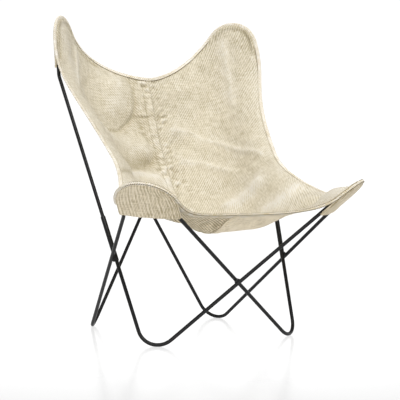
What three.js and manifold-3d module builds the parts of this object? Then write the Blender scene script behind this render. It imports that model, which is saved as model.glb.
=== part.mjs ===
// Butterfly sling chair. Two loops of bent steel rod cross four times and make four round
// wings. A canvas sling of two sewn halves hangs from the wings by its four corner pockets.
// Millimetres, +Z up, front of the chair towards -Y, origin on the floor below the middle.

import * as THREE from 'three';
import { mergeVertices } from 'three/addons/utils/BufferGeometryUtils.js';
import Module from 'manifold-3d';

// Rods, sleeves and welds
const ROD_DIAMETER = 10;
const SLEEVE_DIAMETER = 13.5;
const SLEEVE_LENGTH = 130;
const SLEEVE_GRIP = 45;
const SIDE_SLEEVE_DROP = 9;
const REAR_SLEEVE_RISE = 28;
const WELD_DIAMETER = 19;
const FIT_GAP = 0.3;

// Feet, measured between the points where the straight legs would meet
const FRONT_FEET_SPREAD = 461;
const REAR_FEET_SPREAD = 411;
const FEET_DEPTH = 450;
const FOOT_BEND_RADIUS = 54;
const FOOT_FLAT_DEPTH = 0.5;

// Wings, each a round top on two shoulders
const WING_TIP_RADIUS = 71;
const SHOULDER_BEND_RADIUS = 40;
const FRONT_SHOULDER_HEIGHT = 343;
const FRONT_INNER_SPREAD = 419;
const FRONT_INNER_FORWARD = 365;
const FRONT_OUTER_SPREAD = 622;
const FRONT_OUTER_FORWARD = 261;
const FRONT_WING_RISE = 119;
const FRONT_WING_LEAN = THREE.MathUtils.degToRad(49.7);
const FRONT_WING_SLIDE = -11;
const BACK_SHOULDER_HEIGHT = 719;
const BACK_OUTER_SPREAD = 645;
const BACK_OUTER_SETBACK = 159;
const BACK_INNER_SPREAD = 399;
const BACK_INNER_SETBACK = 301;
const BACK_WING_RISE_LEFT = 163;
const BACK_WING_RISE_RIGHT = 172;
const BACK_WING_LEAN = THREE.MathUtils.degToRad(7);
const BACK_WING_SLIDE = 15;

// Sling: cloth, its rolled hem, the tape under the centre seam and the corner pockets
const CLOTH_THICKNESS = 2;
const HEM_DIAMETER = 5;
const HEM_TO_ROD = 10.5;
const HEM_ROLL = 4;
const HEM_GAP = 0.5;
const HEM_END_GAP = 1;
const SEAM_TAPE_WIDTH = 22;
const SEAM_TAPE_THICKNESS = 1.5;
const FRONT_POCKET_DEPTH = 112;
const BACK_POCKET_DEPTH = 131;
const POCKET_INSET = 1;

// Sling lines on the centre plane and the waist of each side edge
const SEAT_FRONT_FORWARD = 296;
const SEAT_FRONT_HEIGHT = 340;
const SEAT_LOW_FORWARD = 160;
const SEAT_LOW_HEIGHT = 280;
const BACK_TOP_SETBACK = 249;
const BACK_TOP_HEIGHT = 723;
const WAIST_SPREAD = 512;
const WAIST_FORWARD = 64;
const WAIST_HEIGHT = 495;
const WAIST_FALL = THREE.MathUtils.degToRad(43.5);
const WAIST_TOE_IN = THREE.MathUtils.degToRad(6.8);
const SEAM_TOP_LEAN = THREE.MathUtils.degToRad(17.5);

// How far round a wing each sling edge runs before it leaves the rod
const FRONT_EDGE_WRAP = THREE.MathUtils.degToRad(71);
const SIDE_EDGE_FRONT_WRAP = THREE.MathUtils.degToRad(92);
const SIDE_EDGE_BACK_WRAP = THREE.MathUtils.degToRad(66);
const TOP_EDGE_WRAP = THREE.MathUtils.degToRad(59);

// Reach of the curve handles that shape the free edges and the centre seam
const FRONT_EDGE_REACH = { wing: 67, middle: 132 };
const TOP_EDGE_REACH = { wing: 138, middle: 35 };
const SIDE_EDGE_REACH = { back: 133, upperWaist: 287, lowerWaist: 102, front: 12 };
const SEAM_REACH = { front: 50, lowFront: 45, lowBack: 190, top: 300 };

// Main folds of the hung cloth. A fold runs between two places on a half of the sling, given
// as shares across from the seam and up from the front edge. It stands up by its height, or
// sinks in where the height is below nought.
const FOLDS = {
  right: [
    { from: [0.1, 0.8], to: [0.88, 0.52], height: 5, width: 36 },
    { from: [0.14, 0.725], to: [0.85, 0.43], height: -4, width: 24 },
    { from: [0.16, 0.655], to: [0.56, 0.53], height: 3, width: 26 },
    { from: [0.4, 0.375], to: [0.75, 0.39], height: 6, width: 24 },
    { from: [0.58, 0.28], to: [0.87, 0.28], height: 5, width: 22 },
    { from: [0.58, 0.17], to: [0.85, 0.13], height: 28, width: 66 },
  ],
  left: [
    { from: [0.27, 0.95], to: [0.34, 0.84], height: 13, width: 44 },
    { from: [0.16, 0.81], to: [0.57, 0.7], height: -3, width: 24 },
    { from: [0.14, 0.7], to: [0.65, 0.64], height: 13, width: 30 },
    { from: [0.12, 0.64], to: [0.65, 0.54], height: -9, width: 24 },
    { from: [0.06, 0.555], to: [0.7, 0.47], height: 8, width: 28 },
    { from: [0.24, 0.2], to: [0.72, 0.14], height: 28, width: 56 },
  ],
};
const SEAM_FLAT_STRIP = 24;

// Mesh fineness
const ROD_SIDES = 12;
const SLEEVE_SIDES = 24;
const HEM_SIDES = 6;
const WELD_CELLS = { round: 14, high: 8 };
const BEND_STEP = THREE.MathUtils.degToRad(13);
const PANEL_CELLS = { across: 15, along: 30 };
const POCKET_CELLS = { across: 12, along: 9 };
const POCKET_TOP_ANGLE = THREE.MathUtils.degToRad(48);
const CROWDING = 0.55;
const RIM_SAMPLES = 80;
const SETTLE_PASSES = 12;
const MERGE_REACH = 1e-4;

const ROD_RADIUS = ROD_DIAMETER / 2;
const SLEEVE_RADIUS = SLEEVE_DIAMETER / 2;
const HEM_RADIUS = HEM_DIAMETER / 2;
const SLING_EDGE_RADIUS = WING_TIP_RADIUS + HEM_TO_ROD;
const LIFT_AT_HEM = CLOTH_THICKNESS / 2 + FIT_GAP;
const LIFT_OVER_ROD = ROD_RADIUS + CLOTH_THICKNESS / 2 + 2 * FIT_GAP;

const UP = new THREE.Vector3(0, 0, 1);
const ACROSS = new THREE.Vector3(1, 0, 0);
const BACKWARDS = new THREE.Vector3(0, 1, 0);
const RIGHT = 1;
const LEFT = -1;

const wasm = await Module();
wasm.setup();

const ROD_PAINT = { color: 0x17181a, roughness: 0.42, metalness: 0.3 };
const CANVAS = { color: 0xdcd3b8, roughness: 0.92, metalness: 0 };
const HEM_CLOTH = { color: 0xe2dcc8, roughness: 0.9, metalness: 0 };

function toSolid(geometry) {
  const bare = geometry.clone();
  bare.deleteAttribute('normal');
  bare.deleteAttribute('uv');
  const merged = mergeVertices(bare, MERGE_REACH);
  return new wasm.Manifold(new wasm.Mesh({
    numProp: 3,
    vertProperties: new Float32Array(merged.attributes.position.array),
    triVerts: new Uint32Array(merged.index.array),
  }));
}

function toGeometry(solid) {
  const mesh = solid.getMesh();
  const geometry = new THREE.BufferGeometry();
  geometry.setAttribute('position', new THREE.BufferAttribute(mesh.vertProperties, 3));
  geometry.setIndex(new THREE.BufferAttribute(mesh.triVerts, 1));
  return geometry;
}

function addPiece(group, name, geometry, look) {
  const mesh = new THREE.Mesh(geometry, new THREE.MeshStandardMaterial(look));
  mesh.name = name;
  group.add(mesh);
}

// Turns a shape made along Y to lie along a direction, and moves it to a place
function turnAndMove(geometry, direction, place) {
  const alongY = new THREE.Vector3(0, 1, 0);
  geometry.applyQuaternion(new THREE.Quaternion().setFromUnitVectors(alongY, direction.clone().normalize()));
  geometry.translate(place.x, place.y, place.z);
}

// A bent rod's centre line: straight runs joined by round bends. A run takes one step and a
// bend one step for each BEND_STEP of its turn.
class RodPath extends THREE.Curve {
  constructor(corners, radii) {
    super();
    this.pieces = [];
    let start = corners[0].clone();
    for (let i = 1; i < corners.length - 1; i += 1) {
      const into = corners[i].clone().sub(corners[i - 1]).normalize();
      const out = corners[i + 1].clone().sub(corners[i]).normalize();
      const turn = into.angleTo(out);
      const setback = radii[i - 1] * Math.tan(turn / 2);
      const bendStart = corners[i].clone().addScaledVector(into, -setback);
      this.addRun(start, bendStart);
      const axis = into.clone().cross(out).normalize();
      const spoke = into.clone().cross(axis).multiplyScalar(radii[i - 1]);
      const centre = bendStart.clone().sub(spoke);
      this.pieces.push({ steps: Math.ceil(turn / BEND_STEP), axis, turn, spoke, centre, into });
      start = corners[i].clone().addScaledVector(out, setback);
    }
    this.addRun(start, corners[corners.length - 1]);
    this.steps = this.pieces.reduce((sum, piece) => sum + piece.steps, 0);
  }

  addRun(start, end) {
    if (start.distanceTo(end) > FIT_GAP) this.pieces.push({ steps: 1, start, end });
  }

  find(t) {
    let step = t * this.steps;
    let index = 0;
    while (index < this.pieces.length - 1 && step > this.pieces[index].steps) {
      step -= this.pieces[index].steps;
      index += 1;
    }
    return [this.pieces[index], step / this.pieces[index].steps];
  }

  getPointAt(t, target = new THREE.Vector3()) {
    const [piece, share] = this.find(t);
    if (piece.end) return target.lerpVectors(piece.start, piece.end, share);
    return target.copy(piece.spoke).applyAxisAngle(piece.axis, share * piece.turn).add(piece.centre);
  }

  getTangentAt(t, target = new THREE.Vector3()) {
    const [piece, share] = this.find(t);
    if (piece.end) return target.subVectors(piece.end, piece.start).normalize();
    return target.copy(piece.into).applyAxisAngle(piece.axis, share * piece.turn);
  }
}

function roundBar(path, radius, sides, steps) {
  const section = new THREE.Shape();
  for (let i = 0; i < sides; i += 1) {
    const angle = (2 * Math.PI * i) / sides;
    const corner = [radius * Math.cos(angle), radius * Math.sin(angle)];
    if (i === 0) section.moveTo(...corner);
    else section.lineTo(...corner);
  }
  section.closePath();
  return new THREE.ExtrudeGeometry(section, { steps, bevelEnabled: false, extrudePath: path });
}

// Nearest points of two straight lines, and the way from the first line to the second
function crossing(a0, a1, b0, b1) {
  const a = a1.clone().sub(a0);
  const b = b1.clone().sub(b0);
  const apart = a0.clone().sub(b0);
  const ab = a.dot(b);
  const det = a.lengthSq() * b.lengthSq() - ab * ab;
  const onA = a0.clone().addScaledVector(a, (ab * b.dot(apart) - b.lengthSq() * a.dot(apart)) / det);
  const onB = b0.clone().addScaledVector(b, (a.lengthSq() * b.dot(apart) - ab * a.dot(apart)) / det);
  return { onA, onB, way: onB.clone().sub(onA) };
}

function along(from, to, distance) {
  return from.clone().add(to.clone().sub(from).setLength(distance));
}

// Two lines that mirror each other across the centre plane are parted along Y until the rods
// just clear where they cross.
function loopOffset(a0, a1) {
  const run = a1.clone().sub(a0);
  const normal = run.clone().cross(new THREE.Vector3(-run.x, run.y, run.z)).normalize();
  return (ROD_DIAMETER + FIT_GAP) / (2 * Math.abs(normal.y));
}

// The corner of a floor bend sits below the floor, at the depth that brings the lowest point
// of the bend's centre line to the rod's radius, less the small flat worn on the foot.
function footCorner(above, legA, legB) {
  const corner = above.clone();
  for (let pass = 0; pass < SETTLE_PASSES; pass += 1) {
    const into = corner.clone().sub(legA).normalize();
    const out = legB.clone().sub(corner).normalize();
    const turn = into.angleTo(out);
    const axis = into.clone().cross(out).normalize();
    const bendStart = corner.clone().addScaledVector(into, -FOOT_BEND_RADIUS * Math.tan(turn / 2));
    const centre = bendStart.sub(into.clone().cross(axis).multiplyScalar(FOOT_BEND_RADIUS));
    const lowest = centre.z - FOOT_BEND_RADIUS * Math.sqrt(1 - axis.z * axis.z);
    corner.z += ROD_RADIUS - FOOT_FLAT_DEPTH - lowest;
  }
  return corner;
}

// A wing of the frame: its two shoulders, the directions of its plane, the centre of its round
// top and the two corners that the round top is bent around.
function wing(outer, inner, rise, lean, slide) {
  const shoulderLine = outer.clone().sub(inner).normalize();
  const middle = outer.clone().add(inner).multiplyScalar(0.5);
  const away = shoulderLine.clone().cross(UP);
  if (away.dot(middle) < 0) away.negate();
  const tip = middle.clone().addScaledVector(UP, rise * Math.cos(lean));
  tip.addScaledVector(away, rise * Math.sin(lean)).addScaledVector(shoulderLine, slide);
  const rising = tip.clone().sub(middle).normalize();
  const sideways = shoulderLine.clone().addScaledVector(rising, -shoulderLine.dot(rising)).normalize();
  const centre = tip.clone().addScaledVector(rising, -WING_TIP_RADIUS);
  const corner = (shoulder, sign) => {
    const local = shoulder.clone().sub(centre);
    const s = Math.abs(local.dot(sideways));
    const t = local.dot(rising);
    const root = Math.sqrt(t * t + s * s - WING_TIP_RADIUS * WING_TIP_RADIUS);
    const half = (t + root) / (s + WING_TIP_RADIUS);
    const reach = (WING_TIP_RADIUS * (1 - half)) / (1 + half);
    return tip.clone().addScaledVector(sideways, sign * reach);
  };
  const inwards = sideways.clone().cross(rising);
  if (inwards.x * middle.x + inwards.y * middle.y > 0) inwards.negate();
  const corners = [corner(outer, 1), corner(inner, -1)];
  return { outer, inner, rising, sideways, centre, inwards, corners };
}

// One loop of the frame. Its front wing is on the given side, its back wing on the other. The
// whole loop is set forward or back by the offset, and its rear leg sideways by the shift.
function rodLoop(side, offset, shift) {
  const place = (x, y, z) => new THREE.Vector3(x, y - side * offset, z);
  const onSide = (spread) => (side * spread) / 2 + shift;
  const onOther = (spread) => (-side * spread) / 2;
  const front = wing(
    place(onSide(FRONT_OUTER_SPREAD), -FRONT_OUTER_FORWARD, FRONT_SHOULDER_HEIGHT),
    place(onSide(FRONT_INNER_SPREAD), -FRONT_INNER_FORWARD, FRONT_SHOULDER_HEIGHT),
    FRONT_WING_RISE, FRONT_WING_LEAN, FRONT_WING_SLIDE,
  );
  const back = wing(
    place(onOther(BACK_OUTER_SPREAD), BACK_OUTER_SETBACK, BACK_SHOULDER_HEIGHT),
    place(onOther(BACK_INNER_SPREAD), BACK_INNER_SETBACK, BACK_SHOULDER_HEIGHT),
    side === RIGHT ? BACK_WING_RISE_LEFT : BACK_WING_RISE_RIGHT, BACK_WING_LEAN, BACK_WING_SLIDE,
  );
  const aboveFront = place(onOther(FRONT_FEET_SPREAD), -FEET_DEPTH / 2, 0);
  const aboveRear = place(onSide(REAR_FEET_SPREAD), FEET_DEPTH / 2, 0);
  const frontFoot = footCorner(aboveFront, back.outer, front.inner);
  const rearFoot = footCorner(aboveRear, front.outer, back.inner);
  return { front, back, frontFoot, rearFoot };
}

// Parts the loops until the mirrored rods clear at the front crossing, then moves each rear
// leg sideways until it lies against the sleeve on the other loop.
function frameLoops() {
  const sample = rodLoop(RIGHT, 0, 0);
  const offset = loopOffset(sample.frontFoot, sample.front.inner);
  const seat = SLEEVE_RADIUS + ROD_RADIUS + FIT_GAP;
  const shifts = { [RIGHT]: 0, [LEFT]: 0 };
  let loops;
  for (let pass = 0; pass < SETTLE_PASSES; pass += 1) {
    loops = {
      [RIGHT]: rodLoop(RIGHT, offset, shifts[RIGHT]),
      [LEFT]: rodLoop(LEFT, offset, shifts[LEFT]),
    };
    for (const side of [RIGHT, LEFT]) {
      const { rearFoot, front } = loops[side];
      const { frontFoot, back } = loops[-side];
      const { way } = crossing(frontFoot, back.outer, rearFoot, front.outer);
      shifts[side] += ((seat - way.length()) * way.length()) / way.x;
    }
  }
  return loops;
}

// A loop's base rod and back wing rod meet end to end inside two sleeves
function sleevePlaces(loop, other) {
  const side = crossing(loop.frontFoot, loop.back.outer, other.rearFoot, other.front.outer).onA;
  const rear = crossing(loop.rearFoot, loop.back.inner, other.rearFoot, other.back.inner).onA;
  const place = (start, top) => ({
    start,
    top,
    joint: along(start, top, SLEEVE_GRIP),
    plug: along(start, top, SLEEVE_GRIP + FIT_GAP),
  });
  return {
    side: place(along(side, loop.frontFoot, SIDE_SLEEVE_DROP), loop.back.outer),
    rear: place(along(rear, loop.back.inner, REAR_SLEEVE_RISE), loop.back.inner),
  };
}

function flattenFeet(geometry) {
  const cover = 2 * (FRONT_FEET_SPREAD + REAR_FEET_SPREAD + FEET_DEPTH);
  const slab = new THREE.BoxGeometry(cover, cover, ROD_DIAMETER);
  slab.translate(0, 0, -ROD_RADIUS);
  return toGeometry(toSolid(geometry).subtract(toSolid(slab)));
}

function baseRod(loop, sleeves) {
  const [outerCorner, innerCorner] = loop.front.corners;
  const corners = [
    sleeves.side.joint, loop.frontFoot, loop.front.inner, innerCorner,
    outerCorner, loop.front.outer, loop.rearFoot, sleeves.rear.joint,
  ];
  const radii = [
    FOOT_BEND_RADIUS, SHOULDER_BEND_RADIUS, WING_TIP_RADIUS,
    WING_TIP_RADIUS, SHOULDER_BEND_RADIUS, FOOT_BEND_RADIUS,
  ];
  const path = new RodPath(corners, radii);
  return flattenFeet(roundBar(path, ROD_RADIUS, ROD_SIDES, path.steps));
}

function backWingRod(loop, sleeves) {
  const [outerCorner, innerCorner] = loop.back.corners;
  const corners = [
    sleeves.side.plug, loop.back.outer, outerCorner, innerCorner, loop.back.inner, sleeves.rear.plug,
  ];
  const radii = [SHOULDER_BEND_RADIUS, WING_TIP_RADIUS, WING_TIP_RADIUS, SHOULDER_BEND_RADIUS];
  const path = new RodPath(corners, radii);
  return roundBar(path, ROD_RADIUS, ROD_SIDES, path.steps);
}

function sleeve(place) {
  const bore = ROD_RADIUS + FIT_GAP;
  const profile = [
    new THREE.Vector2(bore, 0),
    new THREE.Vector2(SLEEVE_RADIUS, 0),
    new THREE.Vector2(SLEEVE_RADIUS, SLEEVE_LENGTH),
    new THREE.Vector2(bore, SLEEVE_LENGTH),
    new THREE.Vector2(bore, 0),
  ];
  const geometry = new THREE.LatheGeometry(profile, SLEEVE_SIDES);
  turnAndMove(geometry, place.top.clone().sub(place.start), place.start);
  return geometry;
}

// A weld bead fills the corners between two crossing bars and stops at their skins
function weldBead(barA, barB) {
  const { onA, onB, way } = crossing(barA.from, barA.to, barB.from, barB.to);
  const bead = new THREE.SphereGeometry(WELD_DIAMETER / 2, WELD_CELLS.round, WELD_CELLS.high);
  bead.scale(1, Math.min(1, way.length() / WELD_DIAMETER), 1);
  turnAndMove(bead, way, onA.clone().lerp(onB, 0.5));
  const groove = (bar, place) => {
    const radius = bar.radius + FIT_GAP;
    const geometry = new THREE.CylinderGeometry(radius, radius, 2 * WELD_DIAMETER, SLEEVE_SIDES);
    turnAndMove(geometry, bar.to.clone().sub(bar.from), place);
    return toSolid(geometry);
  };
  return toGeometry(toSolid(bead).subtract(groove(barA, onA)).subtract(groove(barB, onB)));
}

// Part of the round edge of the sling at a wing, from one angle off the tip to another
class WingArc extends THREE.Curve {
  constructor(frameWing, radius, from, to) {
    super();
    Object.assign(this, { frameWing, radius, from, to });
  }

  getPoint(t, target = new THREE.Vector3()) {
    const angle = THREE.MathUtils.lerp(this.from, this.to, t);
    return target.copy(wingPoint(this.frameWing, angle, this.radius));
  }
}

function wingPoint(frameWing, angle, radius) {
  const point = frameWing.centre.clone().addScaledVector(frameWing.sideways, radius * Math.sin(angle));
  return point.addScaledVector(frameWing.rising, radius * Math.cos(angle));
}

function wingTangent(frameWing, angle) {
  const tangent = frameWing.sideways.clone().multiplyScalar(Math.cos(angle));
  return tangent.addScaledVector(frameWing.rising, -Math.sin(angle));
}

function freeEdge(start, startHandle, endHandle, end) {
  return new THREE.CubicBezierCurve3(start, startHandle, endHandle, end);
}

function joinCurves(...curves) {
  const path = new THREE.CurvePath();
  curves.forEach((curve) => path.add(curve));
  return path;
}

// The four edges of one half of the sling, from the centre seam out and from the front up
function slingEdges(hand, front, back) {
  const seatFront = new THREE.Vector3(0, -SEAT_FRONT_FORWARD, SEAT_FRONT_HEIGHT);
  const seatLow = new THREE.Vector3(0, -SEAT_LOW_FORWARD, SEAT_LOW_HEIGHT);
  const backTop = new THREE.Vector3(0, BACK_TOP_SETBACK, BACK_TOP_HEIGHT);
  const waist = new THREE.Vector3((hand * WAIST_SPREAD) / 2, -WAIST_FORWARD, WAIST_HEIGHT);
  const waistRun = new THREE.Vector3(0, -Math.cos(WAIST_FALL), -Math.sin(WAIST_FALL));
  waistRun.multiplyScalar(Math.cos(WAIST_TOE_IN)).addScaledVector(ACROSS, -hand * Math.sin(WAIST_TOE_IN));
  const outwards = ACROSS.clone().multiplyScalar(hand);
  const from = (point, direction, reach) => point.clone().addScaledVector(direction, reach);

  const frontLeave = wingPoint(front, -FRONT_EDGE_WRAP, SLING_EDGE_RADIUS);
  const frontEdge = joinCurves(
    freeEdge(
      seatFront,
      from(seatFront, outwards, FRONT_EDGE_REACH.middle),
      from(frontLeave, wingTangent(front, -FRONT_EDGE_WRAP), -FRONT_EDGE_REACH.wing),
      frontLeave,
    ),
    new WingArc(front, SLING_EDGE_RADIUS, -FRONT_EDGE_WRAP, 0),
  );
  const topLeave = wingPoint(back, -TOP_EDGE_WRAP, SLING_EDGE_RADIUS);
  const topEdge = joinCurves(
    freeEdge(
      backTop,
      from(backTop, outwards, TOP_EDGE_REACH.middle),
      from(topLeave, wingTangent(back, -TOP_EDGE_WRAP), -TOP_EDGE_REACH.wing),
      topLeave,
    ),
    new WingArc(back, SLING_EDGE_RADIUS, -TOP_EDGE_WRAP, 0),
  );
  const sideFront = wingPoint(front, SIDE_EDGE_FRONT_WRAP, SLING_EDGE_RADIUS);
  const sideBack = wingPoint(back, SIDE_EDGE_BACK_WRAP, SLING_EDGE_RADIUS);
  const sideEdge = joinCurves(
    new WingArc(front, SLING_EDGE_RADIUS, 0, SIDE_EDGE_FRONT_WRAP),
    freeEdge(
      sideFront,
      from(sideFront, wingTangent(front, SIDE_EDGE_FRONT_WRAP), SIDE_EDGE_REACH.front),
      from(waist, waistRun, SIDE_EDGE_REACH.lowerWaist),
      waist,
    ),
    freeEdge(
      waist,
      from(waist, waistRun, -SIDE_EDGE_REACH.upperWaist),
      from(sideBack, wingTangent(back, SIDE_EDGE_BACK_WRAP), SIDE_EDGE_REACH.back),
      sideBack,
    ),
    new WingArc(back, SLING_EDGE_RADIUS, SIDE_EDGE_BACK_WRAP, 0),
  );
  const downAndBack = seatLow.clone().sub(seatFront).normalize();
  const seamTop = new THREE.Vector3(0, Math.sin(SEAM_TOP_LEAN), Math.cos(SEAM_TOP_LEAN));
  const centreSeam = joinCurves(
    freeEdge(
      seatFront,
      from(seatFront, downAndBack, SEAM_REACH.front),
      from(seatLow, BACKWARDS, -SEAM_REACH.lowFront),
      seatLow,
    ),
    freeEdge(
      seatLow,
      from(seatLow, BACKWARDS, SEAM_REACH.lowBack),
      from(backTop, seamTop, -SEAM_REACH.top),
      backTop,
    ),
  );
  return { frontEdge, topEdge, sideEdge, centreSeam };
}

// A smooth patch between four edge curves: bottom and top run across, left and right run up
function patchPoint(bottom, top, left, right, a, b) {
  const point = new THREE.Vector3();
  const add = (vector, weight) => point.addScaledVector(vector, weight);
  add(left.getPoint(b), 1 - a);
  add(right.getPoint(b), a);
  add(bottom.getPoint(a), 1 - b);
  add(top.getPoint(a), b);
  add(bottom.getPoint(0), -(1 - a) * (1 - b));
  add(bottom.getPoint(1), -a * (1 - b));
  add(top.getPoint(0), -(1 - a) * b);
  add(top.getPoint(1), -a * b);
  return point;
}

function evenShares(cells) {
  return Array.from({ length: cells + 1 }, (_, i) => i / cells);
}

// Adds a row one hem roll inside the first and the last share, where the roll is not nought
function withRolls(shares, first, last) {
  const inner = shares.slice(1, -1);
  const rolls = [first, 1 - last].filter((share) => share > 0 && share < 1);
  return [0, ...[...inner, ...rolls].sort((a, b) => a - b), 1];
}

// Shares that crowd towards the wing end of an edge that starts at the seam
function sharesFromSeam(cells) {
  return evenShares(cells).map((t) => t + (CROWDING * Math.sin(Math.PI * t)) / Math.PI);
}

// Shares that crowd towards both ends of an edge that runs from wing to wing
function sharesBetweenWings(cells) {
  return evenShares(cells).map((t) => t - (CROWDING * Math.sin(2 * Math.PI * t)) / (2 * Math.PI));
}

// Grid cells are split from the nearest corner of the patch inwards, so that no triangle is
// flattened where two edges run on into each other at a wing tip.
function cellTriangles(rows, columns) {
  const triangles = [];
  for (let j = 0; j < rows - 1; j += 1) {
    for (let i = 0; i < columns - 1; i += 1) {
      const a = j * columns + i;
      const b = a + 1;
      const d = a + columns;
      const c = d + 1;
      if ((i < columns / 2) === (j < rows / 2)) triangles.push(a, b, c, a, c, d);
      else triangles.push(a, b, d, b, c, d);
    }
  }
  return triangles;
}

function gridNormals(points, triangles) {
  const geometry = new THREE.BufferGeometry().setFromPoints(points);
  geometry.setIndex(triangles);
  geometry.computeVertexNormals();
  const normals = geometry.attributes.normal;
  return points.map((_, i) => new THREE.Vector3().fromBufferAttribute(normals, i));
}

// A closed thin sheet around a grid of points, half its thickness to each side
function sheetSolid(points, rows, columns, thickness) {
  const triangles = cellTriangles(rows, columns);
  const normals = gridNormals(points, triangles);
  const upper = points.map((point, i) => point.clone().addScaledVector(normals[i], thickness / 2));
  const lower = points.map((point, i) => point.clone().addScaledVector(normals[i], -thickness / 2));
  const count = points.length;
  const index = [...triangles];
  for (let i = 0; i < triangles.length; i += 3) {
    index.push(triangles[i] + count, triangles[i + 2] + count, triangles[i + 1] + count);
  }
  for (const [p, q] of rimPairs(rows, columns)) index.push(p, p + count, q + count, p, q + count, q);
  const geometry = new THREE.BufferGeometry().setFromPoints([...upper, ...lower]);
  geometry.setIndex(index);
  return geometry;
}

function rimOrder(rows, columns) {
  const rim = [];
  for (let i = 0; i < columns - 1; i += 1) rim.push(i);
  for (let j = 0; j < rows - 1; j += 1) rim.push(j * columns + columns - 1);
  for (let i = columns - 1; i > 0; i -= 1) rim.push((rows - 1) * columns + i);
  for (let j = rows - 1; j > 0; j -= 1) rim.push(j * columns);
  return rim;
}

function rimPairs(rows, columns) {
  const rim = rimOrder(rows, columns);
  return rim.map((vertex, i) => [vertex, rim[(i + 1) % rim.length]]);
}

function distanceToSegment(point, start, end) {
  const run = end.clone().sub(start);
  const share = THREE.MathUtils.clamp(point.clone().sub(start).dot(run) / run.lengthSq(), 0, 1);
  return point.distanceTo(start.clone().addScaledVector(run, share));
}

function nearest(point, spots) {
  return spots.reduce((least, spot) => Math.min(least, spot.distanceTo(point)), Infinity);
}

function rollLift(distance) {
  const share = THREE.MathUtils.smoothstep(distance, 0, HEM_ROLL);
  return THREE.MathUtils.lerp(LIFT_AT_HEM, LIFT_OVER_ROD, share);
}

// One half of the sling: a patch between its four edges, lifted off the rods inside its hem
// and raised along its main folds. The seam edge keeps clear of the other half.
function slingHalf(hand, edges, folds) {
  const { frontEdge, topEdge, sideEdge, centreSeam } = edges;
  const at = (a, b) => patchPoint(frontEdge, topEdge, centreSeam, sideEdge, a, b);
  const acrossRoll = HEM_ROLL / frontEdge.getLength();
  const alongRoll = HEM_ROLL / sideEdge.getLength();
  const seamStrip = SEAM_FLAT_STRIP / frontEdge.getLength();
  const acrossShares = withRolls(sharesFromSeam(PANEL_CELLS.across), seamStrip, acrossRoll);
  const alongShares = withRolls(sharesBetweenWings(PANEL_CELLS.along), alongRoll, alongRoll);
  const columns = acrossShares.length;
  const rows = alongShares.length;
  const base = alongShares.flatMap((b) => acrossShares.map((a) => at(a, b)));
  if (hand === LEFT) reverseRows(base, columns);
  const normals = gridNormals(base, cellTriangles(rows, columns));
  const rim = [frontEdge, sideEdge, topEdge].flatMap((edge) => edge.getSpacedPoints(RIM_SAMPLES));
  const folded = folds.map((fold) => ({ ...fold, start: at(...fold.from), end: at(...fold.to) }));
  const points = base.map((point, i) => {
    const toHem = nearest(point, rim);
    let lift = rollLift(toHem);
    for (const { start, end, height, width } of folded) {
      const share = distanceToSegment(point, start, end) / width;
      const free = Math.min(toHem - HEM_ROLL, Math.abs(point.x) - SEAM_FLAT_STRIP);
      lift += height * Math.exp(-share * share) * THREE.MathUtils.smoothstep(free, 0, width);
    }
    return point.clone().addScaledVector(normals[i], lift);
  });
  for (const point of points) {
    if (hand * point.x < FIT_GAP) point.x = hand * FIT_GAP;
  }
  return { base, normals, points, rows, columns };
}

function reverseRows(points, columns) {
  for (let start = 0; start < points.length; start += columns) {
    const row = points.slice(start, start + columns).reverse();
    points.splice(start, columns, ...row);
  }
}

// A curve that steps from one of its points to the next
class NodePath extends THREE.CatmullRomCurve3 {
  getPointAt(t, target) {
    return this.getPoint(t, target);
  }

  getTangentAt(t, target) {
    return this.getTangent(t, target);
  }
}

// The rolled hem runs round the outer edges of a half, against the edge of the cloth
function hemBead(hand, half) {
  const { base, normals, rows, columns } = half;
  const rim = rimOrder(rows, columns);
  const start = hand === RIGHT ? 0 : (rows - 1) * columns + columns - 1;
  const length = rim.length - (rows - 2);
  const run = Array.from({ length }, (_, i) => rim[(rim.indexOf(start) + i) % rim.length]);
  const route = run.map((vertex, i) => {
    const before = base[run[Math.max(0, i - 1)]];
    const after = base[run[Math.min(length - 1, i + 1)]];
    const outwards = after.clone().sub(before).cross(normals[vertex]).normalize();
    const point = base[vertex].clone().addScaledVector(outwards, HEM_RADIUS + HEM_GAP);
    if (hand * point.x < HEM_END_GAP) point.x = hand * HEM_END_GAP;
    return point;
  });
  return roundBar(new NodePath(route), HEM_RADIUS, HEM_SIDES, length - 1);
}

// The tape lies under both halves along the centre seam, and follows their first cells
function seamTape(halves) {
  const { rows, columns } = halves[RIGHT];
  const beside = (half, row, seam, next) => {
    const start = half.points[row * columns + seam];
    return along(start, half.points[row * columns + next], SEAM_TAPE_WIDTH / 2);
  };
  const points = [];
  for (let row = 1; row < rows - 1; row += 1) {
    const left = halves[LEFT].points[row * columns + columns - 1];
    const right = halves[RIGHT].points[row * columns];
    points.push(beside(halves[LEFT], row, columns - 1, columns - 2));
    points.push(left.clone().add(right).multiplyScalar(0.5));
    points.push(beside(halves[RIGHT], row, 0, 1));
  }
  const normals = gridNormals(points, cellTriangles(rows - 2, 3));
  const drop = CLOTH_THICKNESS / 2 + 2 * FIT_GAP + SEAM_TAPE_THICKNESS / 2;
  points.forEach((point, i) => point.addScaledVector(normals[i], -drop));
  return sheetSolid(points, rows - 2, 3, SEAM_TAPE_THICKNESS);
}

// The angle off the tip at which a leg runs straight on from the round top of its wing
function legAngle(frameWing, shoulder) {
  const local = shoulder.clone().sub(frameWing.centre);
  const angle = Math.atan2(Math.abs(local.dot(frameWing.sideways)), local.dot(frameWing.rising));
  return angle - Math.acos(WING_TIP_RADIUS / local.length());
}

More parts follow.
